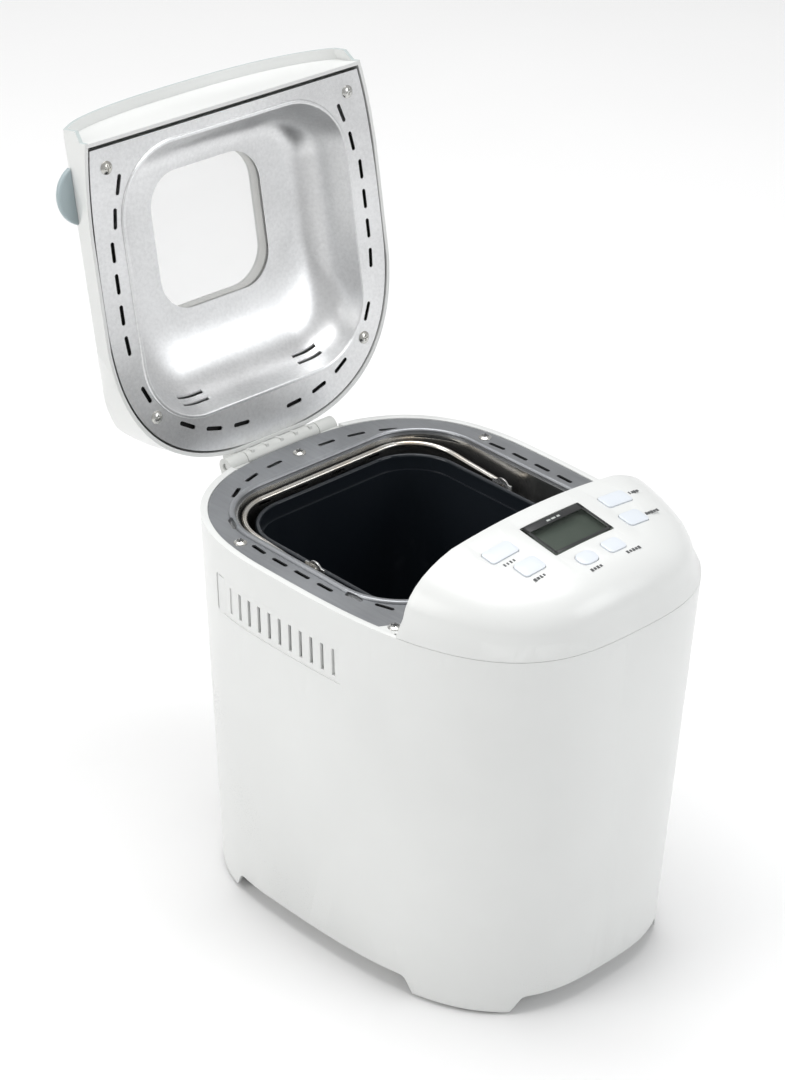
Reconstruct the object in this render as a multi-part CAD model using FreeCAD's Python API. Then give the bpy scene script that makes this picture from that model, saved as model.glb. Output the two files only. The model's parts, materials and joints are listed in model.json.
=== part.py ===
"""Bread machine: a domed plastic body with a control head, a hinged lid, a lift-out pan and a belt drive.

Modelled in millimetres, +Z up, front towards -Y, with the drive shaft on X = 0, Y = 0 while it is built.
The lid is built closed and then turned open about its hinge.  At the end everything is moved along Y, so
that the origin lies on the floor under the middle of the machine as it stands with its lid open.
"""
import FreeCAD, Part
import math
import os

from FreeCAD import Placement, Rotation, Vector

# ---------------------------------------------------------------- driving dimensions, in millimetres
BODY_WIDTH = 254.0          # casing at the height of the deck
BODY_DEPTH = 334.5          # casing, from the rear face to the front of the control head
DECK_HEIGHT = 281.0         # top of the metal deck above the floor
REAR_REACH = 126.0          # from the widest line of the casing to its rear face
HEAD_DEPTH = 93.5           # from the rear wall of the control head to its front
HEAD_RISE = 50.5            # top of the control head above the deck
LID_RISE = 57.0             # top of the closed lid above the deck
REAR_ROUNDNESS = 2.65       # exponent of the rear half of the plan outline
FRONT_ROUNDNESS = 3.0       # exponent of the front half of the plan outline
ARCH_ROUNDNESS = 2.7        # exponent of the control head's arch
LID_ARCH_ROUNDNESS = 2.45   # exponent of the lid's arch, a little softer so that its lip clears the head
REAR_DROP_ROUNDNESS = 1.8   # exponent of the lid's fall towards the hinge
CASING_TAPER = 2.4          # degrees of draft, narrower towards the floor
CASING_WALL = 2.5
SHELL_WALL = 2.5            # control head and lid cover
SEAM_GAP = 0.4              # between two covers that meet

# deck and baking chamber
DECK_LIP = 4.5              # casing rim outside the metal deck
DECK_LEDGE = 7.0            # casing ledge under the metal deck
DECK_SHEET = 1.2
DECK_SINK = 0.6             # deck sheet below the casing rim
SIDE_BAND = 27.0            # from the casing's side to the chamber mouth
REAR_BAND = 37.6            # from the casing's rear to the chamber mouth
HEAD_BAND = 18.6            # from the head's rear wall to the chamber mouth
CHAMBER_CORNER = 47.0
CHAMBER_DEPTH = 192.0
CHAMBER_SHEET = 0.8
BEAD_WIDTH = 4.6
BEAD_HEIGHT = 1.8
SHIELD_GAP = 7.0            # from the chamber to the heat shield
SHIELD_SHEET = 0.6
AIR_SLOT_LENGTH = 14.0
AIR_SLOT_WIDTH = 3.0
SIDE_SLOT_COUNT = 6
SCREW_HEAD_RADIUS = 4.6
SCREW_SHANK_RADIUS = 1.7
SCREW_LENGTH = 9.0

# pan, bail, paddle
PAN_SIDE_GAP = 15.5         # from the chamber mouth to the pan's rim
PAN_END_GAP = 8.0
PAN_CORNER_LESS = 9.0       # the pan's corners are tighter than the chamber's
PAN_RIM_DROP = 11.0         # pan rim below the deck
PAN_HEIGHT = 160.0
PAN_DRAFT = 8.0             # the pan's wall leans in by this much from rim to base
PAN_SHEET = 1.4
PAN_RIM_RADIUS = 2.0
PAN_STEP_DROP = 11.0        # the inner step below the rim
BASE_RING_RADIUS = 52.0
BASE_RING_WALL = 2.4
BASE_RING_HEIGHT = 13.0
BAIL_WIRE_RADIUS = 2.1
BAIL_REACH = 87.5
BAIL_CORNER = 34.0
BAIL_TILT = 4.0             # degrees, the folded bail rises towards the hinge side
PADDLE_BLADE_LENGTH = 44.0
PADDLE_HEIGHT = 34.0
SHAFT_RADIUS = 4.0
RUNNING_CLEARANCE = 0.05

# drive
DRIVE_SHAFT_RADIUS = 5.0
BIG_PULLEY_RADIUS = 50.0
SMALL_PULLEY_RADIUS = 9.0
PULLEY_WIDTH = 12.0
PULLEY_HEIGHT = 38.0        # middle of the belt above the floor
BELT_WIDTH = 9.0
BELT_THICKNESS = 2.0
BELT_CLEARANCE = 0.15
MOTOR_RADIUS = 31.0
MOTOR_LENGTH = 78.0
MOTOR_FRONT_GAP = 26.0      # from the motor's case to the front of the casing at the deck
CHASSIS_HEIGHT = 58.0
CHASSIS_SHEET = 1.5
PILLAR_RADIUS = 5.0

# heating
ELEMENT_RADIUS = 3.2
ELEMENT_WALL_GAP = 3.0
ELEMENT_HEIGHT = 24.0       # above the chamber floor

# underside
FOOT_HEIGHT = 12.0          # moulded feet below the skirt
PAD_HEIGHT = 3.0
PAD_RADIUS = 9.0
FOOT_LENGTH = 46.0
BASE_SHEET = 2.5

# lid
LID_ANGLE = 100.6           # open, from closed
LID_GAP = 4.0               # closed lid plate above the deck
LID_SIDE_SET = 0.8          # lid cover's foot inside the casing's outline
LID_ROOF_CLEAR = 4.0        # the rear fall starts from a line this far above the arch
HINGE_BEHIND = 3.0          # hinge axis behind the casing's rear face
HINGE_BELOW = 3.3           # hinge axis below the deck
HINGE_HALF_WIDTH = 49.0
HINGE_LUG_WIDTH = 16.0
HINGE_BARREL_RADIUS = 6.2
HINGE_PIN_RADIUS = 2.5
LINER_MARGIN = 4.0          # lid cover's side to the metal liner
LINER_SHEET = 0.8
LIP_REACH = 7.5             # lid cover's lip over the control head
LIP_CLEARANCE = 1.2
DISH_DEPTH = 36.0
WINDOW_HALF_WIDTH = 48.5
WINDOW_HALF_LENGTH = 48.5
WINDOW_CORNER = 25.0
WINDOW_FROM_FRONT = 93.0    # window centre behind the lid's front wall
GLASS_THICKNESS = 3.0
GRIP_LENGTH = 38.0
GRIP_REACH = 12.2
GRIP_THICKNESS = 4.5
GRIP_FROM_FRONT = 35.0
GRIP_HEIGHT = 16.5          # above the lid plate when closed

# control panel
PANEL_SLOPE = 9.2           # degrees, falling to the front
PANEL_CROWN = 550.0         # radius across the machine
DISPLAY_WIDTH = 53.0
DISPLAY_LENGTH = 33.0
DISPLAY_BACK = 29.5         # centre of the display from the head's rear wall
SWITCH_HEIGHT = 4.0         # tactile switches above their board
KEY_TRAVEL = 0.8
KEY_PROUD = 0.9
KEY_CLEARANCE = 0.35
BOARD_DROP = 15.0           # control board below the panel
# name: (sideways place, distance from the head's rear wall, width, length, corner radius)
KEYS = {
    "menu_button": (-52.0, 22.5, 23.0, 12.0, 2.5),
    "time_button": (-47.0, 43.5, 18.0, 13.0, 3.0),
    "loaf_button": (-12.0, 58.5, 15.0, 11.5, 5.0),
    "color_button": (12.0, 58.5, 15.0, 11.5, 3.0),
    "cycle_button": (47.0, 43.5, 18.0, 13.0, 3.0),
    "start_button": (52.0, 22.5, 23.0, 12.0, 2.5),
}

# side vents
VENT_COUNT = 12
VENT_PITCH = 10.0
VENT_WIDTH = 2.8
VENT_LENGTH = 20.0
VENT_BELOW_DECK = 40.0      # centre of the slots
VENT_MIDDLE_Y = -4.0

# ---------------------------------------------------------------- places worked out from them
REAR_Y = REAR_BAND + (BODY_DEPTH - HEAD_DEPTH - REAR_BAND - HEAD_BAND) / 2
FRONT_Y = REAR_Y - BODY_DEPTH
WIDEST_Y = REAR_Y - REAR_REACH
HEAD_REAR_Y = FRONT_Y + HEAD_DEPTH
CHAMBER_HALF_WIDTH = BODY_WIDTH / 2 - SIDE_BAND
CHAMBER_HALF_LENGTH = (REAR_Y - REAR_BAND - HEAD_REAR_Y - HEAD_BAND) / 2
CHAMBER_FLOOR = DECK_HEIGHT - CHAMBER_DEPTH
PAN_HALF_WIDTH = CHAMBER_HALF_WIDTH - PAN_SIDE_GAP
PAN_HALF_LENGTH = CHAMBER_HALF_LENGTH - PAN_END_GAP
PAN_CORNER = CHAMBER_CORNER - PAN_CORNER_LESS
PAN_RIM = DECK_HEIGHT - PAN_RIM_DROP
PAN_BASE = PAN_RIM - PAN_HEIGHT
SKIRT_BOTTOM = PAD_HEIGHT + FOOT_HEIGHT
MOTOR_Y = FRONT_Y + MOTOR_FRONT_GAP + MOTOR_RADIUS
HINGE_Y = REAR_Y + HINGE_BEHIND
HINGE_Z = DECK_HEIGHT - HINGE_BELOW
LID_PLATE_Z = DECK_HEIGHT + LID_GAP
LID_EDGE_Z = LID_PLATE_Z - 0.5
LID_FRONT_Y = HEAD_REAR_Y + 1.0
WINDOW_Y = LID_FRONT_Y + WINDOW_FROM_FRONT
LID_TOP = DECK_HEIGHT + LID_RISE
PANEL_TOP = DECK_HEIGHT + HEAD_RISE
X_AXIS = Vector(1, 0, 0)
Z_AXIS = Vector(0, 0, 1)
QUARTER_POINTS = 9
DOME_STEPS = 12
REACH = 450.0               # larger than the machine, for cutting tools

parts = {}


# ---------------------------------------------------------------- general helpers
def superellipse(share, exponent):
    """How much of the other half axis is left at this share of one half axis."""
    return (1 - min(1.0, abs(share)) ** exponent) ** (1 / exponent)


def arch_steps(first):
    """Shares of height and width up an arch, evenly spaced along it, from a first share of its height."""
    start = math.asin(first ** (ARCH_ROUNDNESS / 2))
    steps = []
    for k in range(DOME_STEPS + 1):
        angle = start + (math.radians(84) - start) * k / DOME_STEPS
        steps.append((math.sin(angle) ** (2 / ARCH_ROUNDNESS), math.cos(angle) ** (2 / ARCH_ROUNDNESS)))
    return steps


def half_width_at(y, inset=0.0):
    """Half the width of the casing's plan outline at Y, at the height of the deck."""
    if y > WIDEST_Y:
        share = (y - WIDEST_Y) / (REAR_Y - inset - WIDEST_Y)
        return (BODY_WIDTH / 2 - inset) * superellipse(share, REAR_ROUNDNESS)
    share = (WIDEST_Y - y) / (WIDEST_Y - FRONT_Y - inset)
    return (BODY_WIDTH / 2 - inset) * superellipse(share, FRONT_ROUNDNESS)


def rear_at(x, inset=0.0):
    """Y of the rear of the plan outline at this distance from the middle."""
    return WIDEST_Y + (REAR_Y - inset - WIDEST_Y) * superellipse(x / (BODY_WIDTH / 2 - inset), REAR_ROUNDNESS)


def plan_wire(z, half_width, rear, front, tilt=0.0):
    """Closed plan outline at height z; a tilted one turns about the head's rear wall and falls to the front."""
    edges = []
    for quarter in range(4):
        points = []
        for k in range(QUARTER_POINTS + 1):
            angle = math.pi / 2 * (quarter + k / QUARTER_POINTS)
            points.append(plan_point(z, half_width, rear, front, tilt, angle))
        lean = math.tan(math.radians(tilt))
        along_x, along_y = Vector(1, 0, 0), Vector(0, 1, lean)
        starts = (along_y, along_x * -1, along_y * -1, along_x)
        curve = Part.BSplineCurve()
        curve.interpolate(Points=points, InitialTangent=starts[quarter], FinalTangent=starts[(quarter + 1) % 4])
        edges.append(curve.toShape())
    return Part.Wire(edges)


def plan_point(z, half_width, rear, front, tilt, angle):
    """One point of a plan outline: rounder at the rear than at the front."""
    across, along = math.cos(angle), math.sin(angle)
    behind = angle <= math.pi
    exponent = REAR_ROUNDNESS if behind else FRONT_ROUNDNESS
    reach = rear - WIDEST_Y if behind else WIDEST_Y - front
    size = (abs(across) ** exponent + abs(along) ** exponent) ** (-1 / exponent)
    x = half_width * across * size
    y = WIDEST_Y + reach * along * size
    if abs(across) < 1e-9:
        x = 0.0
    if abs(along) < 1e-9:
        y = WIDEST_Y
    return Vector(x, y, z - (HEAD_REAR_Y - y) * math.tan(math.radians(tilt)))


def inset_plan(z, inset):
    """The plan outline drawn in by the casing's taper at this height, and by a wall."""
    total = inset + (DECK_HEIGHT - z) * math.tan(math.radians(CASING_TAPER))
    return plan_wire(z, BODY_WIDTH / 2 - total, REAR_Y - total, FRONT_Y + total)


def body_solid(bottom, top, inset):
    """The casing's tapered form between two heights, drawn in by a wall."""
    return Part.makeLoft([inset_plan(bottom, inset), inset_plan(top, inset)], True, True)


def plan_prism(bottom, height, inset):
    """An upright prism on the deck's plan outline."""
    wire = plan_wire(bottom, BODY_WIDTH / 2 - inset, REAR_Y - inset, FRONT_Y + inset)
    return Part.Face(wire).extrude(Vector(0, 0, height))


def box(x0, x1, y0, y1, z0, z1):
    """A box between two corners."""
    return Part.makeBox(x1 - x0, y1 - y0, z1 - z0, Vector(x0, y0, z0))


def rod(x, y, z, radius, height, axis=Z_AXIS):
    """A round bar that starts at a point and runs along an axis."""
    return Part.makeCylinder(radius, height, Vector(x, y, z), axis)


def ring(x, y, z, outer, inner, height):
    """A tube standing on Z."""
    return rod(x, y, z, outer, height).cut(rod(x, y, z - 1, inner, height + 2))


def rounded_wire(half_x, half_y, corner, z, centre_y=0.0):
    """A rounded rectangle at height z."""
    right, back = half_x - corner, half_y - corner
    turn = corner * math.sqrt(0.5)
    edges = []
    signs = [(1, 1), (-1, 1), (-1, -1), (1, -1)]
    for k, (sx, sy) in enumerate(signs):
        cx, cy = sx * right, centre_y + sy * back
        along_x = Vector(cx + sx * corner, cy, z)
        along_y = Vector(cx, cy + sy * corner, z)
        first, last = (along_x, along_y) if sx * sy > 0 else (along_y, along_x)
        middle = Vector(cx + sx * turn, cy + sy * turn, z)
        edges.append((first, middle, last))
    shape = []
    for k, (first, middle, last) in enumerate(edges):
        shape.append(Part.Arc(first, middle, last).toShape())
        shape.append(Part.makeLine(last, edges[(k + 1) % 4][0]))
    return Part.Wire(shape)


def rounded_prism(half_x, half_y, corner, bottom, height, centre_y=0.0):
    """An upright prism with a rounded rectangle as its section."""
    return Part.Face(rounded_wire(half_x, half_y, corner, bottom, centre_y)).extrude(Vector(0, 0, height))


def rounded_loft(sections):
    """A smooth solid through rounded rectangles, each (half_x, half_y, corner, z, centre_y)."""
    return Part.makeLoft([rounded_wire(*section) for section in sections], True, False)


def join(shapes):
    """One solid from overlapping shapes."""
    whole = shapes[0].fuse(shapes[1:]) if len(shapes) > 1 else shapes[0]
    return whole.removeSplitter()


def group(shapes):
    """Separate solids kept in one node."""
    return Part.makeCompound(shapes)


def mirrored(shape):
    """The same shape on the other side of X = 0."""
    return shape.mirror(Vector(0, 0, 0), X_AXIS)


def both_sides(shape):
    """A shape and its mirror image."""
    return [shape, mirrored(shape)]


def cross_screw(x, y, z, head_radius=SCREW_HEAD_RADIUS, length=SCREW_LENGTH):
    """A pan-head screw with a cross recess, its head standing on the surface at z."""
    dome = Part.makeSphere(head_radius * 1.6, Vector(x, y, z + 2.0 - head_radius * 1.6))
    head = rod(x, y, z, head_radius, 2.4).common(dome)
    recess = [box(x - 2.4, x + 2.4, y - 0.45, y + 0.45, z + 0.9, z + 4)]
    recess.append(box(x - 0.45, x + 0.45, y - 2.4, y + 2.4, z + 0.9, z + 4))
    shank = rod(x, y, z - length, SCREW_SHANK_RADIUS, length + 0.5)
    return head.fuse(shank).cut(recess)


def screw_holes(places, z, radius=SCREW_SHANK_RADIUS + 0.2, depth=SCREW_LENGTH + 1):
    """Clearance holes below z for screws at these places."""
    return [rod(x, y, z - depth, radius, depth + 3) for x, y in places]


def flat_slot(x, y, z, length, width, depth, angle):
    """A slot tool with round ends, turned by an angle about Z."""
    half = (length - width) / 2
    tool = join([box(-half, half, -width / 2, width / 2, 0, depth),
                 rod(-half, 0, 0, width / 2, depth),
                 rod(half, 0, 0, width / 2, depth)])
    tool.rotate(Vector(0, 0, 0), Z_AXIS, angle)
    tool.translate(Vector(x, y, z))
    return tool


def ring_slot_places():
    """Centres and directions of the air slots that the deck and the lid liner share, right side only."""
    inset = SIDE_BAND * 0.63
    places = []
    start = CHAMBER_HALF_LENGTH * 0.31
    last = -CHAMBER_HALF_LENGTH + 14.0
    for k in range(SIDE_SLOT_COUNT):
        y = start + (last - start) * k / (SIDE_SLOT_COUNT - 1)
        places.append(slot_on_side(y, inset + 4.5 * max(0, k - 3), 5.5 * max(0, k - 3)))
    places.append(slot_on_side(CHAMBER_HALF_LENGTH * 0.71, inset))
    for share in (0.24, 0.48, 0.70):
        x = CHAMBER_HALF_WIDTH * share
        inset_rear = REAR_BAND * 0.5
        ahead, behind = rear_at(x + 1, inset_rear), rear_at(x - 1, inset_rear)
        places.append((x, rear_at(x, inset_rear), math.degrees(math.atan2(ahead - behind, 2))))
    return places


def slot_on_side(y, inset, turn=0.0):
    """One slot that follows the side of the plan outline, turned in at its front by some degrees."""
    ahead, behind = half_width_at(y + 1, inset), half_width_at(y - 1, inset)
    return (half_width_at(y, inset), y, math.degrees(math.atan2(2, ahead - behind)) - turn)


def ring_slots(z, depth):
    """Tools for all the air slots of the ring around the chamber mouth."""
    right = [flat_slot(x, y, z, AIR_SLOT_LENGTH, AIR_SLOT_WIDTH, depth, angle)
             for x, y, angle in ring_slot_places()]
    return right + [mirrored(tool) for tool in right]


def deck_screw_places():
    """Side, rear and front corner screws of the deck."""
    side_y = CHAMBER_HALF_LENGTH * 0.47
    front_y = HEAD_REAR_Y + 9.6
    places = [(0.0, REAR_Y - 18.2)]
    for sign in (1, -1):
        places.append((sign * (half_width_at(side_y) - 12.5), side_y))
        places.append((sign * (half_width_at(front_y) - 10.5), front_y))
    return places


def lid_screw_places():
    """Front and rear screws of the lid liner."""
    rear_y = CHAMBER_HALF_LENGTH - 9.0
    front_y = LID_FRONT_Y + 18.5
    places = []
    for sign in (1, -1):
        places.append((sign * (half_width_at(rear_y) - 17.0), rear_y))
        places.append((sign * (half_width_at(front_y) - 17.5), front_y))
    return places


# ---------------------------------------------------------------- casing and underside
def outer_casing():
    """Tapered tub with a rim, moulded feet, side vents, a hinge pocket and a gland hole."""
    shell = body_solid(PAD_HEIGHT, DECK_HEIGHT, 0)
    ledge = DECK_HEIGHT - 6
    front = box(-REACH, REACH, -REACH, HEAD_REAR_Y + 4, 0, REACH)
    hollows = [body_solid(PAD_HEIGHT - 1, ledge, CASING_WALL),
               plan_prism(ledge - 1, 10, DECK_LIP + DECK_LEDGE),
               plan_prism(DECK_HEIGHT - DECK_SINK - DECK_SHEET, 5, DECK_LIP),
               body_solid(ledge - 2, DECK_HEIGHT + 1, CASING_WALL + 0.5).common(front)]
    for hollow in hollows:
        shell = shell.cut(hollow)
    tools = skirt_arches() + vent_recess() + [hinge_pocket(0.3)]
    tools.append(rod(*gland_place(), gland_radius(), 30, Vector(0, 1, 0)))
    tools += [group(screw_holes(deck_screw_places(), DECK_HEIGHT)), group(vent_tools())]
    for tool in tools:
        shell = shell.cut(tool)
    return shell


def foot_corner_wire(low, high, half_low, half_high):
    """The outline of a skirt arch: wide at the floor, narrower above, in its own plane."""
    return Part.makePolygon([Vector(-half_low, 0, low), Vector(half_low, 0, low), Vector(half_high, 0, high),
                             Vector(-half_high, 0, high), Vector(-half_low, 0, low)])


def skirt_arches():
    """Cutting tools that leave four feet under the skirt."""
    across = half_width_at(FRONT_Y + FOOT_LENGTH) - FOOT_LENGTH * 0.66
    along = (BODY_DEPTH - 3.5 * FOOT_LENGTH) / 2
    middle = (REAR_Y + FRONT_Y) / 2 + 3
    front = Part.Face(foot_corner_wire(0, SKIRT_BOTTOM, across, across - 8)).extrude(Vector(0, 2 * REACH, 0))
    front.translate(Vector(0, -REACH, 0))
    side = Part.Face(foot_corner_wire(0, SKIRT_BOTTOM, along, along - 8)).extrude(Vector(0, 2 * REACH, 0))
    side.translate(Vector(0, -REACH, 0))
    side.rotate(Vector(0, 0, 0), Z_AXIS, 90)
    side.translate(Vector(0, middle, 0))
    return [round_arch(front), round_arch(side)]


def round_arch(tool):
    """Rounds the two upper edges of an arch tool."""
    edges = [e for e in tool.Edges if e.Length > REACH and e.BoundBox.ZMin > SKIRT_BOTTOM - 1]
    return tool.makeFillet(5.0, edges)


def vent_tools():
    """Slots through both sides of the casing."""
    middle_z = DECK_HEIGHT - VENT_BELOW_DECK
    tools = []
    for k in range(VENT_COUNT):
        y = VENT_MIDDLE_Y + (k - (VENT_COUNT - 1) / 2) * VENT_PITCH
        slot = box(BODY_WIDTH / 2 - 25, BODY_WIDTH / 2 + 25, y - VENT_WIDTH / 2, y + VENT_WIDTH / 2,
                   middle_z - VENT_LENGTH / 2, middle_z + VENT_LENGTH / 2)
        tools += both_sides(slot)
    return tools


def vent_recess():
    """A shallow recess around the vent slots, on both sides."""
    middle_z = DECK_HEIGHT - VENT_BELOW_DECK
    half = VENT_COUNT * VENT_PITCH / 2 + 2
    skin = body_solid(middle_z - REACH / 10, DECK_HEIGHT, 0.7)
    panel = box(-REACH, REACH, VENT_MIDDLE_Y - half, VENT_MIDDLE_Y + half,
                middle_z - VENT_LENGTH / 2 - 4, middle_z + VENT_LENGTH / 2 + 5)
    edges = [e for e in panel.Edges if e.Length > REACH]
    return [panel.makeFillet(2.5, edges).cut(skin)]


def hinge_pocket(clearance):
    """The notch in the casing's rear rim that the hinge base fills."""
    side = HINGE_HALF_WIDTH + clearance
    return box(-side, side, REAR_Y - 16 - clearance, REAR_Y + 20, HINGE_Z - 27 - clearance, DECK_HEIGHT + 1)


def gland_radius():
    """Radius of the mains gland's neck."""
    return 6.0


def gland_place():
    """Start of the gland's bore, low on the casing's rear wall."""
    return (62.0, rear_at(62.0) - 22.0, 48.0)


def cord_gland():
    """Bushing for the mains lead, with a flange on both sides of the casing wall and a through bore."""
    x, y, z = gland_place()
    skin = body_solid(z - 20, z + 20, 0)
    core = body_solid(z - 20, z + 20, CASING_WALL)
    neck = rod(x, y, z, gland_radius() - 0.1, 32, Vector(0, 1, 0))
    flange = rod(x, y, z, gland_radius() + 2.5, 40, Vector(0, 1, 0))
    grown = body_solid(z - 20, z + 20, -2.2)
    outer = flange.common(grown).cut(skin)
    shrunk = body_solid(z - 20, z + 20, CASING_WALL + 3)
    inner = flange.common(core).cut(shrunk)
    wall = neck.common(grown).cut(shrunk)
    return join([wall, outer, inner]).cut(rod(x, y - 5, z, 3.6, 60, Vector(0, 1, 0)))


def foot_places():
    """Four places for the rubber pads, under the moulded feet."""
    front_y = FRONT_Y + 44.0
    rear_y = REAR_Y - 42.0
    taper = (DECK_HEIGHT - PAD_HEIGHT) * math.tan(math.radians(CASING_TAPER))
    front_x = half_width_at(front_y, taper + 15.0)
    rear_x = half_width_at(rear_y, taper + 15.0)
    return [(front_x, front_y), (-front_x, front_y), (rear_x, rear_y), (-rear_x, rear_y)]


def base_plate():
    """Bottom cover with sockets for the pads, screw bosses and air slots."""
    plate = body_solid(SKIRT_BOTTOM + 1, SKIRT_BOTTOM + 1 + BASE_SHEET, CASING_WALL + SEAM_GAP)
    sockets = [rod(x, y, PAD_HEIGHT, PAD_RADIUS + 1.5, SKIRT_BOTTOM + 2 - PAD_HEIGHT) for x, y in foot_places()]
    stems = [rod(x, y, 0, 2.6, SKIRT_BOTTOM + 10) for x, y in foot_places()]
    vents = []
    for k in range(7):
        for sign in (-1, 1):
            vents.append(flat_slot(sign * 62, -30 + k * 12, SKIRT_BOTTOM, 40, 4, 10, 0))
    holes = [rod(x, y, 0, 1.9, 60) for x, y in pillar_places()]
    return join([plate] + sockets).cut(stems + vents + holes)


def rubber_feet():
    """Round pads with a stem pressed into the base plate's sockets."""
    feet = []
    for x, y in foot_places():
        pad = rod(x, y, 0, PAD_RADIUS, PAD_HEIGHT)
        pad = pad.makeFillet(0.8, [e for e in pad.Edges if e.BoundBox.ZMax < 0.01])
        feet.append(pad.fuse(rod(x, y, PAD_HEIGHT - 0.5, 2.5, 9)))
    return group(feet)


def pillar_places():
    """Places of the pillars that carry the chassis on the base plate."""
    side = CHAMBER_HALF_WIDTH * 0.78
    rear = CHAMBER_HALF_LENGTH * 0.72
    return [(side, rear), (-side, rear), (side, -CHAMBER_HALF_LENGTH * 0.6), (-side, -CHAMBER_HALF_LENGTH * 0.6)]


# ---------------------------------------------------------------- deck and chamber
def deck_plate():
    """Metal ring with a pressed bead round the chamber mouth, air slots and screw holes."""
    bottom = DECK_HEIGHT - DECK_SINK - DECK_SHEET
    plate = plan_prism(bottom, DECK_SHEET, DECK_LIP + SEAM_GAP)
    plate = plate.common(box(-REACH, REACH, HEAD_REAR_Y + 2, REACH, 0, REACH))
    bead = rounded_prism(CHAMBER_HALF_WIDTH + BEAD_WIDTH, CHAMBER_HALF_LENGTH + BEAD_WIDTH,
                         CHAMBER_CORNER + BEAD_WIDTH, bottom, DECK_SHEET + BEAD_HEIGHT)
    top = bottom + DECK_SHEET + BEAD_HEIGHT
    bead = bead.cut(rounded_prism(CHAMBER_HALF_WIDTH, CHAMBER_HALF_LENGTH, CHAMBER_CORNER, bottom - 1, 9))
    bead = bead.makeFillet(1.7, [e for e in bead.Edges if e.BoundBox.ZMin > top - 0.01])
    mouth = rounded_prism(CHAMBER_HALF_WIDTH, CHAMBER_HALF_LENGTH, CHAMBER_CORNER, bottom - 1, 9)
    plate = join([plate.cut(mouth), bead])
    corner = corner_tool(0.0, bottom - 2)
    notch = hinge_pocket(0.0).common(box(-REACH, REACH, REAR_Y - DECK_LIP - SEAM_GAP - 0.1, REACH, 0, REACH))
    return plate.cut(ring_slots(bottom - 1, 5) + [corner, mirrored(corner), notch]
                     + screw_holes(deck_screw_places(), DECK_HEIGHT))


def corner_tool(clearance, bottom):
    """Prism over the right front corner of the deck, where a plastic block takes the metal's place."""
    front = HEAD_REAR_Y
    inner = half_width_at(front) - 18
    slant = front + 9 + clearance + (REACH - inner) * 0.5
    outline = [Vector(inner, front - 5, bottom), Vector(inner, front + 9 + clearance, bottom),
               Vector(REACH, slant, bottom), Vector(REACH, front - 5, bottom)]
    return Part.Face(Part.makePolygon(outline + outline[:1])).extrude(Vector(0, 0, DECK_HEIGHT + 2 - bottom))


def corner_blocks():
    """Plastic corners beside the control head, flush with the casing rim, with a screw hole each."""
    low = DECK_HEIGHT - DECK_SINK - DECK_SHEET + 0.05
    block = corner_tool(-SEAM_GAP, low).common(plan_prism(low, DECK_HEIGHT - low, DECK_LIP + 0.1))
    block = block.common(box(0, REACH, HEAD_REAR_Y + 0.6, REACH, 0, REACH))
    block = block.cut(screw_holes(deck_screw_places(), DECK_HEIGHT))
    return group(both_sides(block))


def deck_screws():
    """Screws of the deck: on the metal at the sides and the rear, on the plastic corners in front."""
    screws = []
    for x, y in deck_screw_places():
        on_corner = y < HEAD_REAR_Y + 12
        z = DECK_HEIGHT if on_corner else DECK_HEIGHT - DECK_SINK
        screws.append(cross_screw(x, y, z, SCREW_HEAD_RADIUS, 5.0))
    return group(screws)


def chamber_sections(grow, floor):
    """Rounded rectangles that shape the chamber, grown by its sheet."""
    low = CHAMBER_FLOOR + floor
    half_x, half_y = CHAMBER_HALF_WIDTH - 1.5 + grow, CHAMBER_HALF_LENGTH - 1.5 + grow
    corner = CHAMBER_CORNER - 1.5 + grow
    return half_x, half_y, corner, low


def baking_chamber():
    """Deep pressed box under the deck, with a rolled rim, wall slots and holes for drive, element and probe."""
    top = DECK_HEIGHT - DECK_SINK - DECK_SHEET - 0.1
    half_x, half_y, corner, low = chamber_sections(CHAMBER_SHEET, 0)
    outside = rounded_prism(half_x, half_y, corner, low, top - low)
    outside = outside.makeFillet(7.0, [e for e in outside.Edges if e.BoundBox.ZMax < low + 0.01])
    half_x, half_y, corner, low = chamber_sections(0, CHAMBER_SHEET)
    inside = rounded_prism(half_x, half_y, corner, low, top + 5 - low)
    inside = inside.makeFillet(6.2, [e for e in inside.Edges if e.BoundBox.ZMax < low + 0.01])
    flange = rounded_prism(half_x + 7, half_y + 7, corner + 7, top - CHAMBER_SHEET, CHAMBER_SHEET)
    box_shape = join([outside, flange]).cut(inside)
    tools = [rod(0, 0, CHAMBER_FLOOR - 5, 17.0, 20)]
    for sign in (-1, 1):
        tools.append(rod(sign * 24.0, -CHAMBER_HALF_LENGTH + 12, element_z(), 4.2, 30, Vector(0, -1, 0)))
    tools.append(rod(CHAMBER_HALF_WIDTH * 0.45, -CHAMBER_HALF_LENGTH + 12, element_z() + 34, 3.2, 30,
                     Vector(0, -1, 0)))
    for share in (-0.5, -0.17, 0.17, 0.5):
        x = share * CHAMBER_HALF_WIDTH
        tools.append(box(x - 6, x + 6, -REACH, REACH, top - 12, top - 9.5))
    return box_shape.cut(tools)


def element_z():
    """Height of the heating element's loop."""
    return CHAMBER_FLOOR + ELEMENT_HEIGHT


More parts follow.
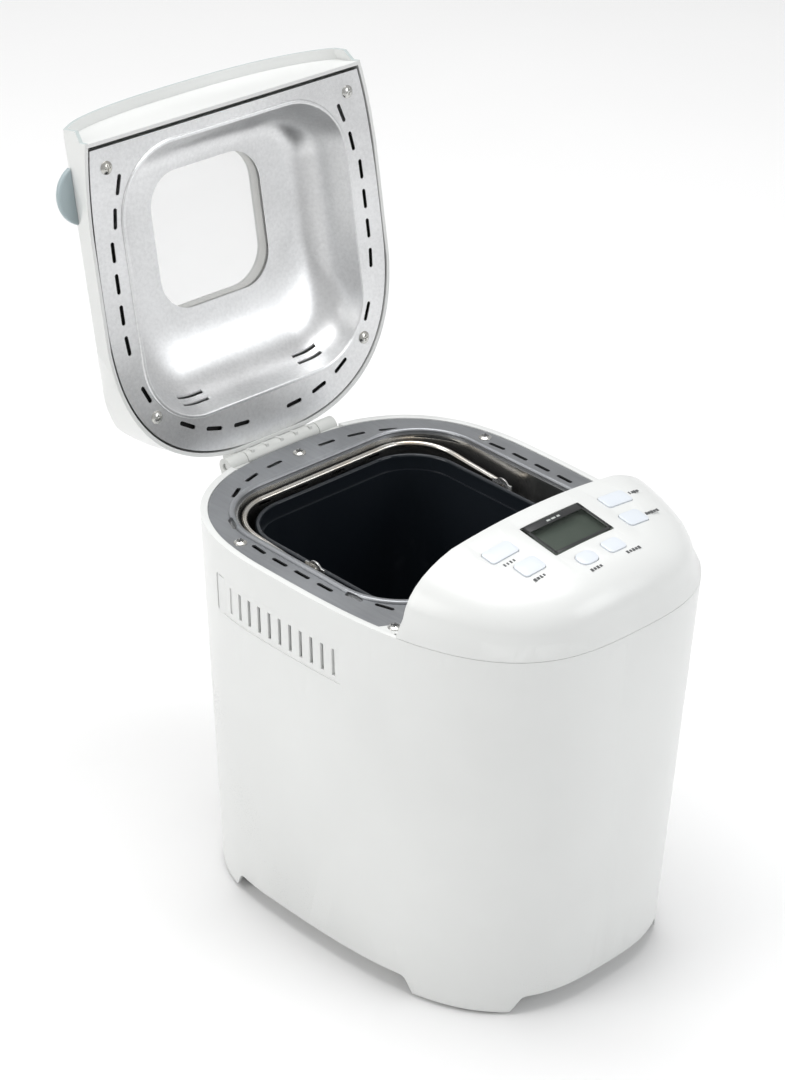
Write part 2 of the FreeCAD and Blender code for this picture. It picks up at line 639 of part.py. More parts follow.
def heat_shield():
    """Sheet-metal sleeve between the chamber and the plastic casing."""
    grow = SHIELD_GAP + CHAMBER_SHEET
    half_x, half_y, corner, low = chamber_sections(grow, 0)
    low = CHASSIS_HEIGHT + CHASSIS_SHEET
    height = DECK_HEIGHT - 16 - low
    outside = rounded_prism(half_x + SHIELD_SHEET, half_y + SHIELD_SHEET, corner + SHIELD_SHEET, low, height)
    inside = rounded_prism(half_x, half_y, corner, low - 1, height + 2)
    sleeve = outside.cut(inside)
    window = box(-34, 34, -REACH, 0, element_z() - 12, element_z() + 12)
    probe = box(CHAMBER_HALF_WIDTH * 0.45 - 9, CHAMBER_HALF_WIDTH * 0.45 + 9, -REACH, 0,
                element_z() + 26, element_z() + 42)
    return sleeve.cut([window, probe])


def heating_element():
    """Sheathed loop round the foot of the pan, open at the front, with its two ends out through the wall."""
    gap = ELEMENT_WALL_GAP + ELEMENT_RADIUS + 1.5
    half_x, half_y = CHAMBER_HALF_WIDTH - gap, CHAMBER_HALF_LENGTH - gap
    corner, z = CHAMBER_CORNER - gap, element_z()
    end_x, bend = 24.0, 6.0
    wall_y = -CHAMBER_HALF_LENGTH - 12
    turn = math.sqrt(0.5)
    edges = []
    corners = [(1, -1), (1, 1), (-1, 1), (-1, -1)]
    start = Vector(end_x, wall_y, z)
    knee = Vector(end_x, -half_y - bend, z)
    edges.append(Part.makeLine(start, knee))
    last = Vector(end_x + bend, -half_y, z)
    edges.append(Part.Arc(knee, Vector(end_x + bend - bend * turn, -half_y - bend + bend * turn, z), last).toShape())
    for sx, sy in corners:
        cx, cy = sx * (half_x - corner), sy * (half_y - corner)
        on_x = Vector(cx + sx * corner, cy, z)
        on_y = Vector(cx, cy + sy * corner, z)
        first, final = (on_y, on_x) if sx * sy < 0 else (on_x, on_y)
        edges.append(Part.makeLine(last, first))
        edges.append(Part.Arc(first, Vector(cx + sx * corner * turn, cy + sy * corner * turn, z), final).toShape())
        last = final
    first = Vector(-end_x - bend, -half_y, z)
    edges.append(Part.makeLine(last, first))
    knee = Vector(-end_x, -half_y - bend, z)
    middle = Vector(-end_x - bend + bend * turn, -half_y - bend + bend * turn, z)
    edges.append(Part.Arc(first, middle, knee).toShape())
    edges.append(Part.makeLine(knee, Vector(-end_x, wall_y, z)))
    path = Part.Wire(edges)
    section = Part.Wire(Part.makeCircle(ELEMENT_RADIUS, start, Vector(0, 1, 0)))
    return path.makePipeShell([section], True, True)


def element_clips():
    """Small saddles that hold the element on the chamber floor."""
    gap = ELEMENT_WALL_GAP + ELEMENT_RADIUS + 1.5
    side = CHAMBER_HALF_WIDTH - gap
    clips = []
    for y in (-CHAMBER_HALF_LENGTH * 0.35, CHAMBER_HALF_LENGTH * 0.35):
        post = box(side - 8, side - 0.2, y - 4, y + 4, CHAMBER_FLOOR + CHAMBER_SHEET, element_z() + 1)
        grip = rod(side, y - 10, element_z(), ELEMENT_RADIUS + 0.1, 20, Vector(0, 1, 0))
        hollow = box(side - 6.5, side + 10, y - 10, y + 10, CHAMBER_FLOOR + 8, element_z() - 6)
        clips += both_sides(post.cut([grip, hollow]))
    return group(clips)


def element_terminals():
    """Ceramic collars and blade terminals on the element's ends, outside the chamber."""
    pieces = []
    wall = -CHAMBER_HALF_LENGTH + 1.5 - CHAMBER_SHEET
    collar = rod(24.0, wall - 0.1, element_z(), 6.0, 8.0, Vector(0, -1, 0))
    collar = collar.cut(rod(24.0, wall + 5, element_z(), ELEMENT_RADIUS + 0.05, 40, Vector(0, -1, 0)))
    pieces += both_sides(collar)
    return group(pieces)


def temperature_probe():
    """Sensor tube through the chamber's front wall, with a collar outside."""
    x = CHAMBER_HALF_WIDTH * 0.45
    z = element_z() + 34
    wall = -CHAMBER_HALF_LENGTH + 1.5
    tube = rod(x, wall + 7, z, 3.0, 20, Vector(0, -1, 0))
    collar = rod(x, wall - CHAMBER_SHEET - 0.1, z, 5.5, 3, Vector(0, -1, 0))
    return join([tube, collar])


def pan_clips():
    """Two spring clips on the chamber floor that grip the pan's base ring."""
    clips = []
    inner = BASE_RING_RADIUS + 0.6
    base = CHAMBER_FLOOR + CHAMBER_SHEET
    foot = box(inner, inner + 14, -9, 9, base, base + 1.0)
    blade = box(inner, inner + 1.0, -9, 9, base, base + 11)
    nose = rod(inner + 0.9, -9, base + 11, 0.9, 18, Vector(0, 1, 0))
    clips += both_sides(join([foot, blade, nose]))
    return group(clips)


# ---------------------------------------------------------------- pan, bail, paddle
def pan_wall(grow, top, base):
    """The pan's tapered form, from rim to base."""
    low_x, low_y = PAN_HALF_WIDTH - PAN_DRAFT + grow, PAN_HALF_LENGTH - PAN_DRAFT + grow
    step_x, step_y = PAN_HALF_WIDTH - 1.6 + grow, PAN_HALF_LENGTH - 1.6 + grow
    step = PAN_RIM - PAN_STEP_DROP
    lower = Part.makeLoft([rounded_wire(low_x, low_y, PAN_CORNER - PAN_DRAFT + grow, base),
                           rounded_wire(step_x - 1.2, step_y - 1.2, PAN_CORNER - 2.8 + grow, step)], True, True)
    lower = lower.makeFillet(9.0, [e for e in lower.Edges if e.BoundBox.ZMax < base + 0.01])
    upper = Part.makeLoft([rounded_wire(step_x, step_y, PAN_CORNER - 1.6 + grow, step - 0.01),
                           rounded_wire(step_x + 0.6, step_y + 0.6, PAN_CORNER - 1.0 + grow, top)], True, True)
    return join([lower, upper])


def bread_pan():
    """Non-stick pan with a step below a rolled rim and a hole for the paddle's bush."""
    shell = pan_wall(0, PAN_RIM, PAN_BASE).cut(pan_wall(-PAN_SHEET, PAN_RIM + 1, PAN_BASE + PAN_SHEET))
    path_x, path_y = PAN_HALF_WIDTH - 1.6, PAN_HALF_LENGTH - 1.6
    rim = rounded_prism(path_x + PAN_RIM_RADIUS, path_y + PAN_RIM_RADIUS, PAN_CORNER + 1, PAN_RIM - 3.2, 3.4)
    rim = rim.cut(rounded_prism(path_x - 1.2, path_y - 1.2, PAN_CORNER - 2, PAN_RIM - 9, 20))
    rim = rim.makeFillet(1.5, [e for e in rim.Edges if e.BoundBox.ZMin > PAN_RIM])
    return join([shell, rim]).cut(rod(0, 0, PAN_BASE - 5, 8.0, 20))


def pan_base_ring():
    """Cast ring riveted under the pan, with three arms to a hub round the shaft's bush."""
    hub = ring(0, 0, PAN_BASE - BASE_RING_HEIGHT + 4, 12.5, 9.0, BASE_RING_HEIGHT - 4.2)
    outer = ring(0, 0, PAN_BASE - BASE_RING_HEIGHT, BASE_RING_RADIUS, BASE_RING_RADIUS - BASE_RING_WALL,
                 BASE_RING_HEIGHT - 0.2)
    arms = []
    for k in range(3):
        arm = box(11.0, BASE_RING_RADIUS - 1, -4, 4, PAN_BASE - 4.2, PAN_BASE - 0.2)
        arm.rotate(Vector(0, 0, 0), Z_AXIS, 120 * k + 30)
        arms.append(arm)
    return join([hub, outer] + arms)


def pan_bush():
    """Sealed bush that carries the paddle's shaft through the pan's base."""
    body = rod(0, 0, PAN_BASE - 9, 7.9, 9 + PAN_SHEET + 2)
    collar = rod(0, 0, PAN_BASE + PAN_SHEET + 0.05, 11.0, 2.5)
    collar = collar.makeFillet(1.0, [e for e in collar.Edges if e.BoundBox.ZMin > PAN_BASE + PAN_SHEET + 2])
    return join([body, collar]).cut(rod(0, 0, PAN_BASE - 20, SHAFT_RADIUS + RUNNING_CLEARANCE, 60))


def pan_ears():
    """Riveted brackets on the pan's sides, each with a hole for an end of the bail."""
    x = PAN_HALF_WIDTH + 0.8
    y, z = bail_pivot()
    plate = box(x, x + 1.2, y - 9, y + 9, PAN_RIM - 26, z + 4)
    tab = rod(x, y, z, 7.0, 1.2, X_AXIS)
    hole = rod(x - 5, y, z, BAIL_WIRE_RADIUS + RUNNING_CLEARANCE, 10, X_AXIS)
    rivets = [rod(x - 2.0, y + side, PAN_RIM - 20, 2.0, 4.2, X_AXIS) for side in (-5, 5)]
    spacer = box(PAN_HALF_WIDTH - 3.5, x + 0.1, y - 9, y + 9, PAN_RIM - 25, PAN_RIM - 14)
    spacer = spacer.cut(pan_wall(0.02, PAN_RIM, PAN_BASE))
    ear = join([plate, tab, spacer] + [r.cut(pan_wall(0.02, PAN_RIM, PAN_BASE)) for r in rivets]).cut(hole)
    return group(both_sides(ear))


def bail_pivot():
    """Y and Z of the bail's pivots on the pan's sides."""
    return 0.0, PAN_RIM - 2.0


def bail_handle():
    """Bent wire bail, folded to the rear, with inward ends in the pan's brackets."""
    pivot_y, pivot_z = bail_pivot()
    side = PAN_HALF_WIDTH + 0.8 + 1.2 + 1.0 + BAIL_WIRE_RADIUS
    inner = PAN_HALF_WIDTH - 1.0
    bend = 3.0
    reach, corner = BAIL_REACH, BAIL_CORNER
    narrow = side - 5.0
    turn = math.sqrt(0.5)

    def at(x, y):
        return Vector(x, pivot_y + y, pivot_z)

    right = [Part.makeLine(at(PAN_HALF_WIDTH + 0.7, 0), at(side - bend, 0)),
             Part.Arc(at(side - bend, 0), at(side - bend + bend * turn, bend - bend * turn), at(side, bend)).toShape(),
             Part.makeLine(at(side, bend), at(side, reach - corner)),
             Part.Arc(at(side, reach - corner), at(side - corner + corner * turn, reach - corner + corner * turn),
                      at(side - corner, reach)).toShape()]
    left = [Part.makeLine(at(side - corner, reach), at(-side + corner, reach)),
            Part.Arc(at(-side + corner, reach), at(-side + corner - corner * turn, reach - corner + corner * turn),
                     at(-side, reach - corner)).toShape(),
            Part.makeLine(at(-side, reach - corner), at(-side, bend)),
            Part.Arc(at(-side, bend), at(-side + bend - bend * turn, bend - bend * turn), at(-side + bend, 0)).toShape(),
            Part.makeLine(at(-side + bend, 0), at(-PAN_HALF_WIDTH - 0.7, 0))]
    path = Part.Wire(right + left)
    section = Part.Wire(Part.makeCircle(BAIL_WIRE_RADIUS, at(PAN_HALF_WIDTH + 0.7, 0), X_AXIS))
    wire = path.makePipeShell([section], True, True)
    wire.rotate(Vector(0, pivot_y, pivot_z), X_AXIS, BAIL_TILT)
    return wire


def pan_shaft():
    """Shaft through the pan's bush: flatted above for the paddle, with a groove below the coupler."""
    top = PAN_BASE + PAN_SHEET + PADDLE_HEIGHT * 0.6
    shaft = rod(0, 0, PAN_BASE - 13, SHAFT_RADIUS, top - PAN_BASE + 13)
    flat = box(SHAFT_RADIUS - 1.2, SHAFT_RADIUS + 2, -9, 9, PAN_BASE + PAN_SHEET + 4, top + 1)
    return shaft.cut(flat)


def pan_coupler():
    """Two-winged coupler on the foot of the pan's shaft."""
    low = PAN_BASE - 17.5
    hub = rod(0, 0, low, 7.5, 7.5)
    wings = box(-13.0, 13.0, -3.2, 3.2, low, low + 6.0)
    return join([hub, wings]).cut(rod(0, 0, PAN_BASE - 13, SHAFT_RADIUS + 0.02, 20))


def kneading_paddle():
    """Removable paddle: a hub with a flatted bore and one tall curved blade."""
    low = PAN_BASE + PAN_SHEET + 3.2
    hub = Part.makeCone(10.0, 7.5, PADDLE_HEIGHT * 0.72, Vector(0, 0, low))
    arch = Part.makeCylinder(PADDLE_BLADE_LENGTH, 5.0, Vector(0, 2.5, low), Vector(0, -1, 0))
    arch = arch.common(box(0, REACH, -REACH, REACH, low, low + PADDLE_HEIGHT))
    heel = Part.makeCylinder(PADDLE_BLADE_LENGTH * 0.45, 12.0, Vector(PADDLE_BLADE_LENGTH * 1.02, 6, low + PADDLE_HEIGHT),
                             Vector(0, -1, 0))
    blade = arch.cut(heel)
    blade = blade.common(box(3, PADDLE_BLADE_LENGTH, -3, 3, low, low + PADDLE_HEIGHT))
    bore = rod(0, 0, low - 1, SHAFT_RADIUS + 0.15, PADDLE_HEIGHT)
    bore = bore.cut(box(SHAFT_RADIUS - 1.05, SHAFT_RADIUS + 2, -9, 9, low + 1.3, low + PADDLE_HEIGHT))
    bore = bore.cut(box(-9, 9, -9, 9, low + PADDLE_HEIGHT * 0.66, low + PADDLE_HEIGHT))
    return join([hub, blade]).cut(bore)


# ---------------------------------------------------------------- drive
def drive_coupler():
    """Cup with two dogs that the pan's coupler drops into."""
    low = CHAMBER_FLOOR + CHAMBER_SHEET - 3.0
    cup = ring(0, 0, low, 15.5, 14.0, 7.5)
    floor = rod(0, 0, low, 15.5, 2.4)
    dogs = [box(7.8, 14.5, 4.2, 7.4, low, low + 8.0), box(-14.5, -7.8, -7.4, -4.2, low, low + 8.0)]
    return join([cup, floor] + dogs).cut(rod(0, 0, low - 5, DRIVE_SHAFT_RADIUS + 0.02, 30))


def drive_shaft():
    """Main shaft from the big pulley up to the coupler."""
    low = PULLEY_HEIGHT - PULLEY_WIDTH / 2 - 7
    top = CHAMBER_FLOOR + CHAMBER_SHEET - 0.6
    return rod(0, 0, low, DRIVE_SHAFT_RADIUS, top - low)


def pulley(x, y, radius, bore, rim, spokes):
    """Grooved pulley with flanges; a large one has spokes."""
    low = PULLEY_HEIGHT - PULLEY_WIDTH / 2
    body = rod(x, y, low, radius, PULLEY_WIDTH)
    flanges = [rod(x, y, low, radius + 2.2, 1.2), rod(x, y, low + PULLEY_WIDTH - 1.2, radius + 2.2, 1.2)]
    wheel = join([body] + flanges)
    tools = [rod(x, y, low - 5, bore + 0.02, PULLEY_WIDTH + 10)]
    if spokes:
        hollow = ring(x, y, low - 1, radius - rim, bore + 7, PULLEY_WIDTH + 2)
        bars = []
        for k in range(spokes):
            bar = box(x, x + radius, y - 4, y + 4, low + 3, low + PULLEY_WIDTH - 3)
            bar.rotate(Vector(x, y, 0), Z_AXIS, 360.0 / spokes * k)
            bars.append(bar)
        tools.append(hollow.cut(bars))
    return wheel.cut(tools)


def pulley_nut():
    """Hexagon nut under the big pulley."""
    low = PULLEY_HEIGHT - PULLEY_WIDTH / 2 - 5
    points = [Vector(9 * math.cos(math.radians(60 * k)), 9 * math.sin(math.radians(60 * k)), low) for k in range(7)]
    nut = Part.Face(Part.makePolygon(points)).extrude(Vector(0, 0, 4.8))
    return nut.cut(rod(0, 0, low - 1, DRIVE_SHAFT_RADIUS + 0.02, 20))


def belt_loop(offset, width):
    """Prism bounded by the belt's run round both pulleys, grown by an offset."""
    big, small = BIG_PULLEY_RADIUS + offset, SMALL_PULLEY_RADIUS + offset
    span = -MOTOR_Y
    lean = math.asin((big - small) / span)
    low = PULLEY_HEIGHT - width / 2
    side_x, side_y = math.cos(lean), -math.sin(lean)
    right_big = Vector(big * side_x, big * side_y, low)
    left_big = Vector(-big * side_x, big * side_y, low)
    right_small = Vector(small * side_x, MOTOR_Y + small * side_y, low)
    left_small = Vector(-small * side_x, MOTOR_Y + small * side_y, low)
    edges = [Part.Arc(right_big, Vector(0, big, low), left_big).toShape(), Part.makeLine(left_big, left_small),
             Part.Arc(left_small, Vector(0, MOTOR_Y - small, low), right_small).toShape(),
             Part.makeLine(right_small, right_big)]
    return Part.Face(Part.Wire(edges)).extrude(Vector(0, 0, width))


def drive_belt():
    """Flat belt round both pulleys."""
    return belt_loop(BELT_CLEARANCE + BELT_THICKNESS, BELT_WIDTH).cut(belt_loop(BELT_CLEARANCE, BELT_WIDTH))


def chassis():
    """Pressed bridge that carries the shaft's bearing, the motor and the chamber."""
    z = CHASSIS_HEIGHT
    side = CHAMBER_HALF_WIDTH - 4
    plate = rounded_prism(side, CHAMBER_HALF_LENGTH - 6, 20, z, CHASSIS_SHEET)
    tongue = box(-MOTOR_RADIUS - 8, MOTOR_RADIUS + 8, MOTOR_Y - 6, -CHAMBER_HALF_LENGTH + 20, z, z + CHASSIS_SHEET)
    nose = rod(0, MOTOR_Y - 6, z, MOTOR_RADIUS + 8, CHASSIS_SHEET)
    nose = nose.common(body_solid(z, z + 20, CASING_WALL + 4))
    housing = rod(0, 0, z - 4, 14.0, CHAMBER_FLOOR - z - 2)
    tools = [rod(0, 0, z - 10, 8.0, 60), rod(0, MOTOR_Y, z - 5, 10.0, 20)]
    tools += [rod(x, y, z - 5, 1.9, 20) for x, y in pillar_places()]
    tools += [rod(x, y, z - 5, 1.9, 20) for x, y in motor_screw_places()]
    return join([plate, tongue, nose, housing]).cut(tools)


def chassis_pillars():
    """Posts between the base plate and the chassis."""
    low = SKIRT_BOTTOM + 1 + BASE_SHEET
    return group([ring(x, y, low, PILLAR_RADIUS, 1.6, CHASSIS_HEIGHT - low) for x, y in pillar_places()])


def base_screws():
    """Screws up through the base plate into the pillars."""
    screws = []
    for x, y in pillar_places():
        screw = cross_screw(x, y, 0, 4.0, 11)
        screw.rotate(Vector(x, y, 0), X_AXIS, 180)
        screw.translate(Vector(0, 0, SKIRT_BOTTOM + 1))
        screws.append(screw)
    return group([s.common(rod(x, y, -5, 1.55, 90).fuse(rod(x, y, -5, 9, SKIRT_BOTTOM + 6.001)))
                  for s, (x, y) in zip(screws, pillar_places())])


def shaft_bushes():
    """Two sintered bushes in the chassis' bearing housing."""
    z = CHASSIS_HEIGHT - 4
    top = CHAMBER_FLOOR - 6
    return group([ring(0, 0, z, 7.95, DRIVE_SHAFT_RADIUS + RUNNING_CLEARANCE, 9),
                  ring(0, 0, top - 9, 7.95, DRIVE_SHAFT_RADIUS + RUNNING_CLEARANCE, 9)])


def motor_screw_places():
    """Screws that hold the motor on the chassis."""
    return [(MOTOR_RADIUS * 0.6, MOTOR_Y), (-MOTOR_RADIUS * 0.6, MOTOR_Y)]


def motor_can():
    """Motor case with end bells, cooling slots and a bore for the rotor's shaft."""
    low = CHASSIS_HEIGHT + CHASSIS_SHEET
    can = rod(0, MOTOR_Y, low, MOTOR_RADIUS, MOTOR_LENGTH)
    can = can.makeFillet(4.0, [e for e in can.Edges if e.BoundBox.ZMin > low + 10 and e.BoundBox.XLength > 5])
    tail = rod(0, MOTOR_Y, low + MOTOR_LENGTH - 1, 10.0, 6)
    slots = []
    for k in range(8):
        slot = box(MOTOR_RADIUS - 4, MOTOR_RADIUS + 4, MOTOR_Y - 3, MOTOR_Y + 3, low + 12, low + MOTOR_LENGTH - 16)
        slot.rotate(Vector(0, MOTOR_Y, 0), Z_AXIS, 45 * k)
        slots.append(slot)
    bore = rod(0, MOTOR_Y, low - 5, 3.0 + RUNNING_CLEARANCE, MOTOR_LENGTH)
    return join([can, tail]).cut(slots + [bore] + [rod(x, y, low - 1, 1.5, 9) for x, y in motor_screw_places()])


def motor_screws():
    """Screws from under the chassis into the motor."""
    screws = []
    for x, y in motor_screw_places():
        head = rod(x, y, CHASSIS_HEIGHT - 2.2, 3.4, 2.2)
        screws.append(head.fuse(rod(x, y, CHASSIS_HEIGHT - 1, 1.45, 9)))
    return group(screws)


def motor_shaft():
    """Rotor shaft, down through the chassis to the small pulley."""
    low = PULLEY_HEIGHT - PULLEY_WIDTH / 2 - 2
    return rod(0, MOTOR_Y, low, 3.0, CHASSIS_HEIGHT + 50 - low)


# ---------------------------------------------------------------- electrics
def power_board():
    """Upright circuit board beside the motor."""
    y = -CHAMBER_HALF_LENGTH - 17
    return box(38, 100, y - 1.6, y, CHASSIS_HEIGHT + 40, CHASSIS_HEIGHT + 140)


def power_parts():
    """Transformer, relay and capacitor on the power board."""
    y = -CHAMBER_HALF_LENGTH - 18.6
    z = CHASSIS_HEIGHT
    transformer = box(46, 78, y - 24, y, z + 48, z + 76)
    relay = box(46, 62, y - 14, y, z + 92, z + 112)
    can = rod(80, y, z + 104, 6.5, 20, Vector(0, -1, 0))
    return group([transformer, relay, can])


# ---------------------------------------------------------------- control head
def head_form(wall):
    """The head's domed form, drawn in by a wall: flush with the casing below, sloping to the front on top."""
    wires = []
    for share, arch in arch_steps(0.0):
        height = share * (HEAD_RISE + 1.5)
        shoulder = 5.5 * (1 - math.exp(-height / 2.0))
        half = (BODY_WIDTH / 2) * arch - shoulder * arch - wall * arch
        front_reach = (WIDEST_Y - FRONT_Y) - 42.0 * (1 - arch) - shoulder * 0.6 - wall
        z = DECK_HEIGHT + SEAM_GAP + height
        wires.append(plan_wire(z, half, REAR_Y - 20, WIDEST_Y - front_reach, PANEL_SLOPE * share ** 1.5))
    dome = Part.makeLoft(wires, True, True)
    rear = HEAD_REAR_Y - wall
    return dome.common([box(-REACH, REACH, -REACH, rear, 0, REACH)]).common(crown_solid(wall))


def crown_solid(drop):
    """Everything under the crowned panel surface, lowered by a wall."""
    top = Vector(0, HEAD_REAR_Y, PANEL_TOP - drop)
    lean = math.radians(PANEL_SLOPE)
    along = Vector(0, -math.cos(lean), -math.sin(lean))
    normal = Vector(0, -math.sin(lean), math.cos(lean))
    centre = top - normal * PANEL_CROWN
    return Part.makeCylinder(PANEL_CROWN, 4 * HEAD_DEPTH, centre - along * HEAD_DEPTH, along)


def on_panel(shape):
    """Moves a shape from panel coordinates (x, towards the rear, out of the panel) to its place."""
    shape = shape.copy()
    place = Placement(Vector(0, HEAD_REAR_Y, PANEL_TOP), Rotation(X_AXIS, PANEL_SLOPE))
    shape.Placement = place.multiply(shape.Placement)
    return shape


def crown_drop(x):
    """How far the panel has fallen away at this distance from the middle."""
    return PANEL_CROWN - math.sqrt(PANEL_CROWN ** 2 - x * x)


def panel_prism(x, back, width, length, corner, low, high):
    """Rounded prism normal to the panel; heights are measured from the panel's crown line."""
    prism = rounded_prism(width / 2, length / 2, corner, low, high - low)
    prism.translate(Vector(x, -back, 0))
    return on_panel(prism)


def control_head():
    """Domed cover with the display's window, six key holes and a ledge for the lens."""
    outer = head_form(0)
    low = DECK_HEIGHT + SEAM_GAP
    inner = head_form(SHELL_WALL).fuse(box(-REACH, REACH, -REACH, REACH, 0, low - 0.01))
    shell = outer.cut(inner)
    tools = [panel_prism(0, DISPLAY_BACK, DISPLAY_WIDTH, DISPLAY_LENGTH, 1.2, -9, 9)]
    for x, back, width, length, corner in KEYS.values():
        tools.append(panel_prism(x, back, width + 2 * KEY_CLEARANCE, length + 2 * KEY_CLEARANCE,
                                 corner + KEY_CLEARANCE, -14, 9))
    return shell.cut(tools)


def display_lens():
    """Clear window that fills the display's opening, following the crown."""
    lens = panel_prism(0, DISPLAY_BACK, DISPLAY_WIDTH - 0.3, DISPLAY_LENGTH - 0.3, 1.0, -2.2, 6)
    return lens.common(crown_solid(0.25))


def lcd_module():
    """Framed liquid-crystal display under the lens."""
    return panel_prism(0, DISPLAY_BACK, DISPLAY_WIDTH + 5, DISPLAY_LENGTH + 5, 1.0, -9.0, -3.6)


def control_board():
    """Circuit board under the panel."""
    return panel_prism(0, 40.0, 132.0, 52.0, 3.0, -BOARD_DROP - 1.6, -BOARD_DROP)


def key_switches():
    """One tactile switch on the board under each key."""
    switches = []
    for x, back, width, length, corner in KEYS.values():
        body = panel_prism(x, back, 6.0, 6.0, 0.5, -BOARD_DROP + 0.02, -BOARD_DROP + 3.4)
        stem = panel_prism(x, back, 3.2, 3.2, 1.5, -BOARD_DROP + 3.0, -BOARD_DROP + SWITCH_HEIGHT)
        switches.append(join([body, stem]))
    return group(switches)


def key_cap(x, back, width, length, corner):
    """Key: a domed cap in its hole, a flange under the shell and a stem above its switch."""
    top = -crown_drop(abs(x)) + KEY_PROUD
    cap = panel_prism(x, back, width, length, corner, -6.5, 9)
    lift = Vector(0, -math.sin(math.radians(PANEL_SLOPE)), math.cos(math.radians(PANEL_SLOPE))) * KEY_PROUD
    crown = crown_solid(0)
    crown.translate(lift)
    cap = cap.common(crown)
    flange = panel_prism(x, back, width + 2.4, length + 2.4, corner + 1.2, top - 8.4, top - 6.4)
    stem = panel_prism(x, back, 4.0, 4.0, 1.5, -BOARD_DROP + SWITCH_HEIGHT + KEY_TRAVEL + 0.3, top - 7)
    return join([cap, flange, stem])


# ---------------------------------------------------------------- hinge
def hinge_base():
    """Moulded base in the casing's rear pocket, with a lug at each end."""
    inside = REAR_Y - 15.7
    low = HINGE_Z - 26.7
    back = box(-HINGE_HALF_WIDTH, HINGE_HALF_WIDTH, inside, inside + 3, low, DECK_HEIGHT - DECK_SINK - DECK_SHEET - 0.3)
    shelf = box(-HINGE_HALF_WIDTH, HINGE_HALF_WIDTH, inside, REAR_Y - 3.5, low, low + 3)
    lugs = []
    for sign in (-1, 1):
        x = HINGE_HALF_WIDTH - HINGE_LUG_WIDTH if sign > 0 else -HINGE_HALF_WIDTH
        barrel = rod(x, HINGE_Y, HINGE_Z, HINGE_BARREL_RADIUS, HINGE_LUG_WIDTH, X_AXIS)
        profile = [Vector(x, inside, low), Vector(x, HINGE_Y - 4, low), Vector(x, HINGE_Y + 5.4, HINGE_Z - 3),
                   Vector(x, HINGE_Y - 3, HINGE_Z + 1), Vector(x, inside, HINGE_Z + 1)]
        web = Part.Face(Part.makePolygon(profile + profile[:1])).extrude(Vector(HINGE_LUG_WIDTH, 0, 0))
        recess = box(x + 4, x + HINGE_LUG_WIDTH - 4, inside + 3, HINGE_Y - 8.5, low + 6, DECK_HEIGHT + 2)
        lugs.append(join([barrel, web]).cut(recess))
    pin = rod(-REACH, HINGE_Y, HINGE_Z, HINGE_PIN_RADIUS, 2 * REACH, X_AXIS)
    knuckle_room = box(-knuckle_half(), knuckle_half(), inside + 3, REACH, low + 3, REACH)
    return join([back, shelf] + lugs).cut([pin, knuckle_room])


def knuckle_half():
    """Half the free width between the two lugs."""
    return HINGE_HALF_WIDTH - HINGE_LUG_WIDTH


def hinge_pins():
    """Two headless pins, one through each lug into the lid's knuckle."""
    start = knuckle_half() - 12
    pin = rod(start, HINGE_Y, HINGE_Z, HINGE_PIN_RADIUS, HINGE_HALF_WIDTH - start - 1, X_AXIS)
    return group(both_sides(pin))


def lid_hinge_bracket():
    """Ribbed knuckle between the lugs, carried up to the lid cover's rear wall."""
    half = knuckle_half() - 0.5
    barrel = rod(-half, HINGE_Y, HINGE_Z, HINGE_BARREL_RADIUS, 2 * half, X_AXIS)
    bore = rod(-REACH, HINGE_Y, HINGE_Z, HINGE_PIN_RADIUS + RUNNING_CLEARANCE, 2 * REACH, X_AXIS)
    top = LID_EDGE_Z + 16
    web = box(-half, half, HINGE_Y - 3.2, HINGE_Y + HINGE_BARREL_RADIUS - 0.2, HINGE_Z, top)
    inner_face = lid_form(-0.3).cut(box(-REACH, REACH, -REACH, 0, 0, REACH))
    web = web.cut(inner_face)
    ribs = []
    for k in range(5):
        x = -half + 6 + k * (2 * half - 12) / 4
        ribs.append(box(x - 1.2, x + 1.2, HINGE_Y - 6.5, HINGE_Y + 1, HINGE_Z - 4.5, HINGE_Z + 2))
    window = [box(-half + 9 + k * 12.6, -half + 16 + k * 12.6, HINGE_Y + 1.5, REACH, HINGE_Z + 7.5, top - 3)
              for k in range(4)]
    return join([barrel, web] + ribs).cut([bore] + window)


# ---------------------------------------------------------------- lid, built closed
def arc_curve(place, start, end, first, last, exponent):
    """Superelliptic curve through place(share, share), from one angle in degrees to another."""
    points = []
    for k in range(2 * QUARTER_POINTS + 1):
        angle = math.radians(start + (end - start) * k / (2 * QUARTER_POINTS))
        across, along = math.cos(angle), math.sin(angle)
        size = (abs(across) ** exponent + abs(along) ** exponent) ** (-1 / exponent)
        points.append(place(across * size, along * size))
    curve = Part.BSplineCurve()
    curve.interpolate(Points=points, InitialTangent=first, FinalTangent=last)
    return curve.toShape()


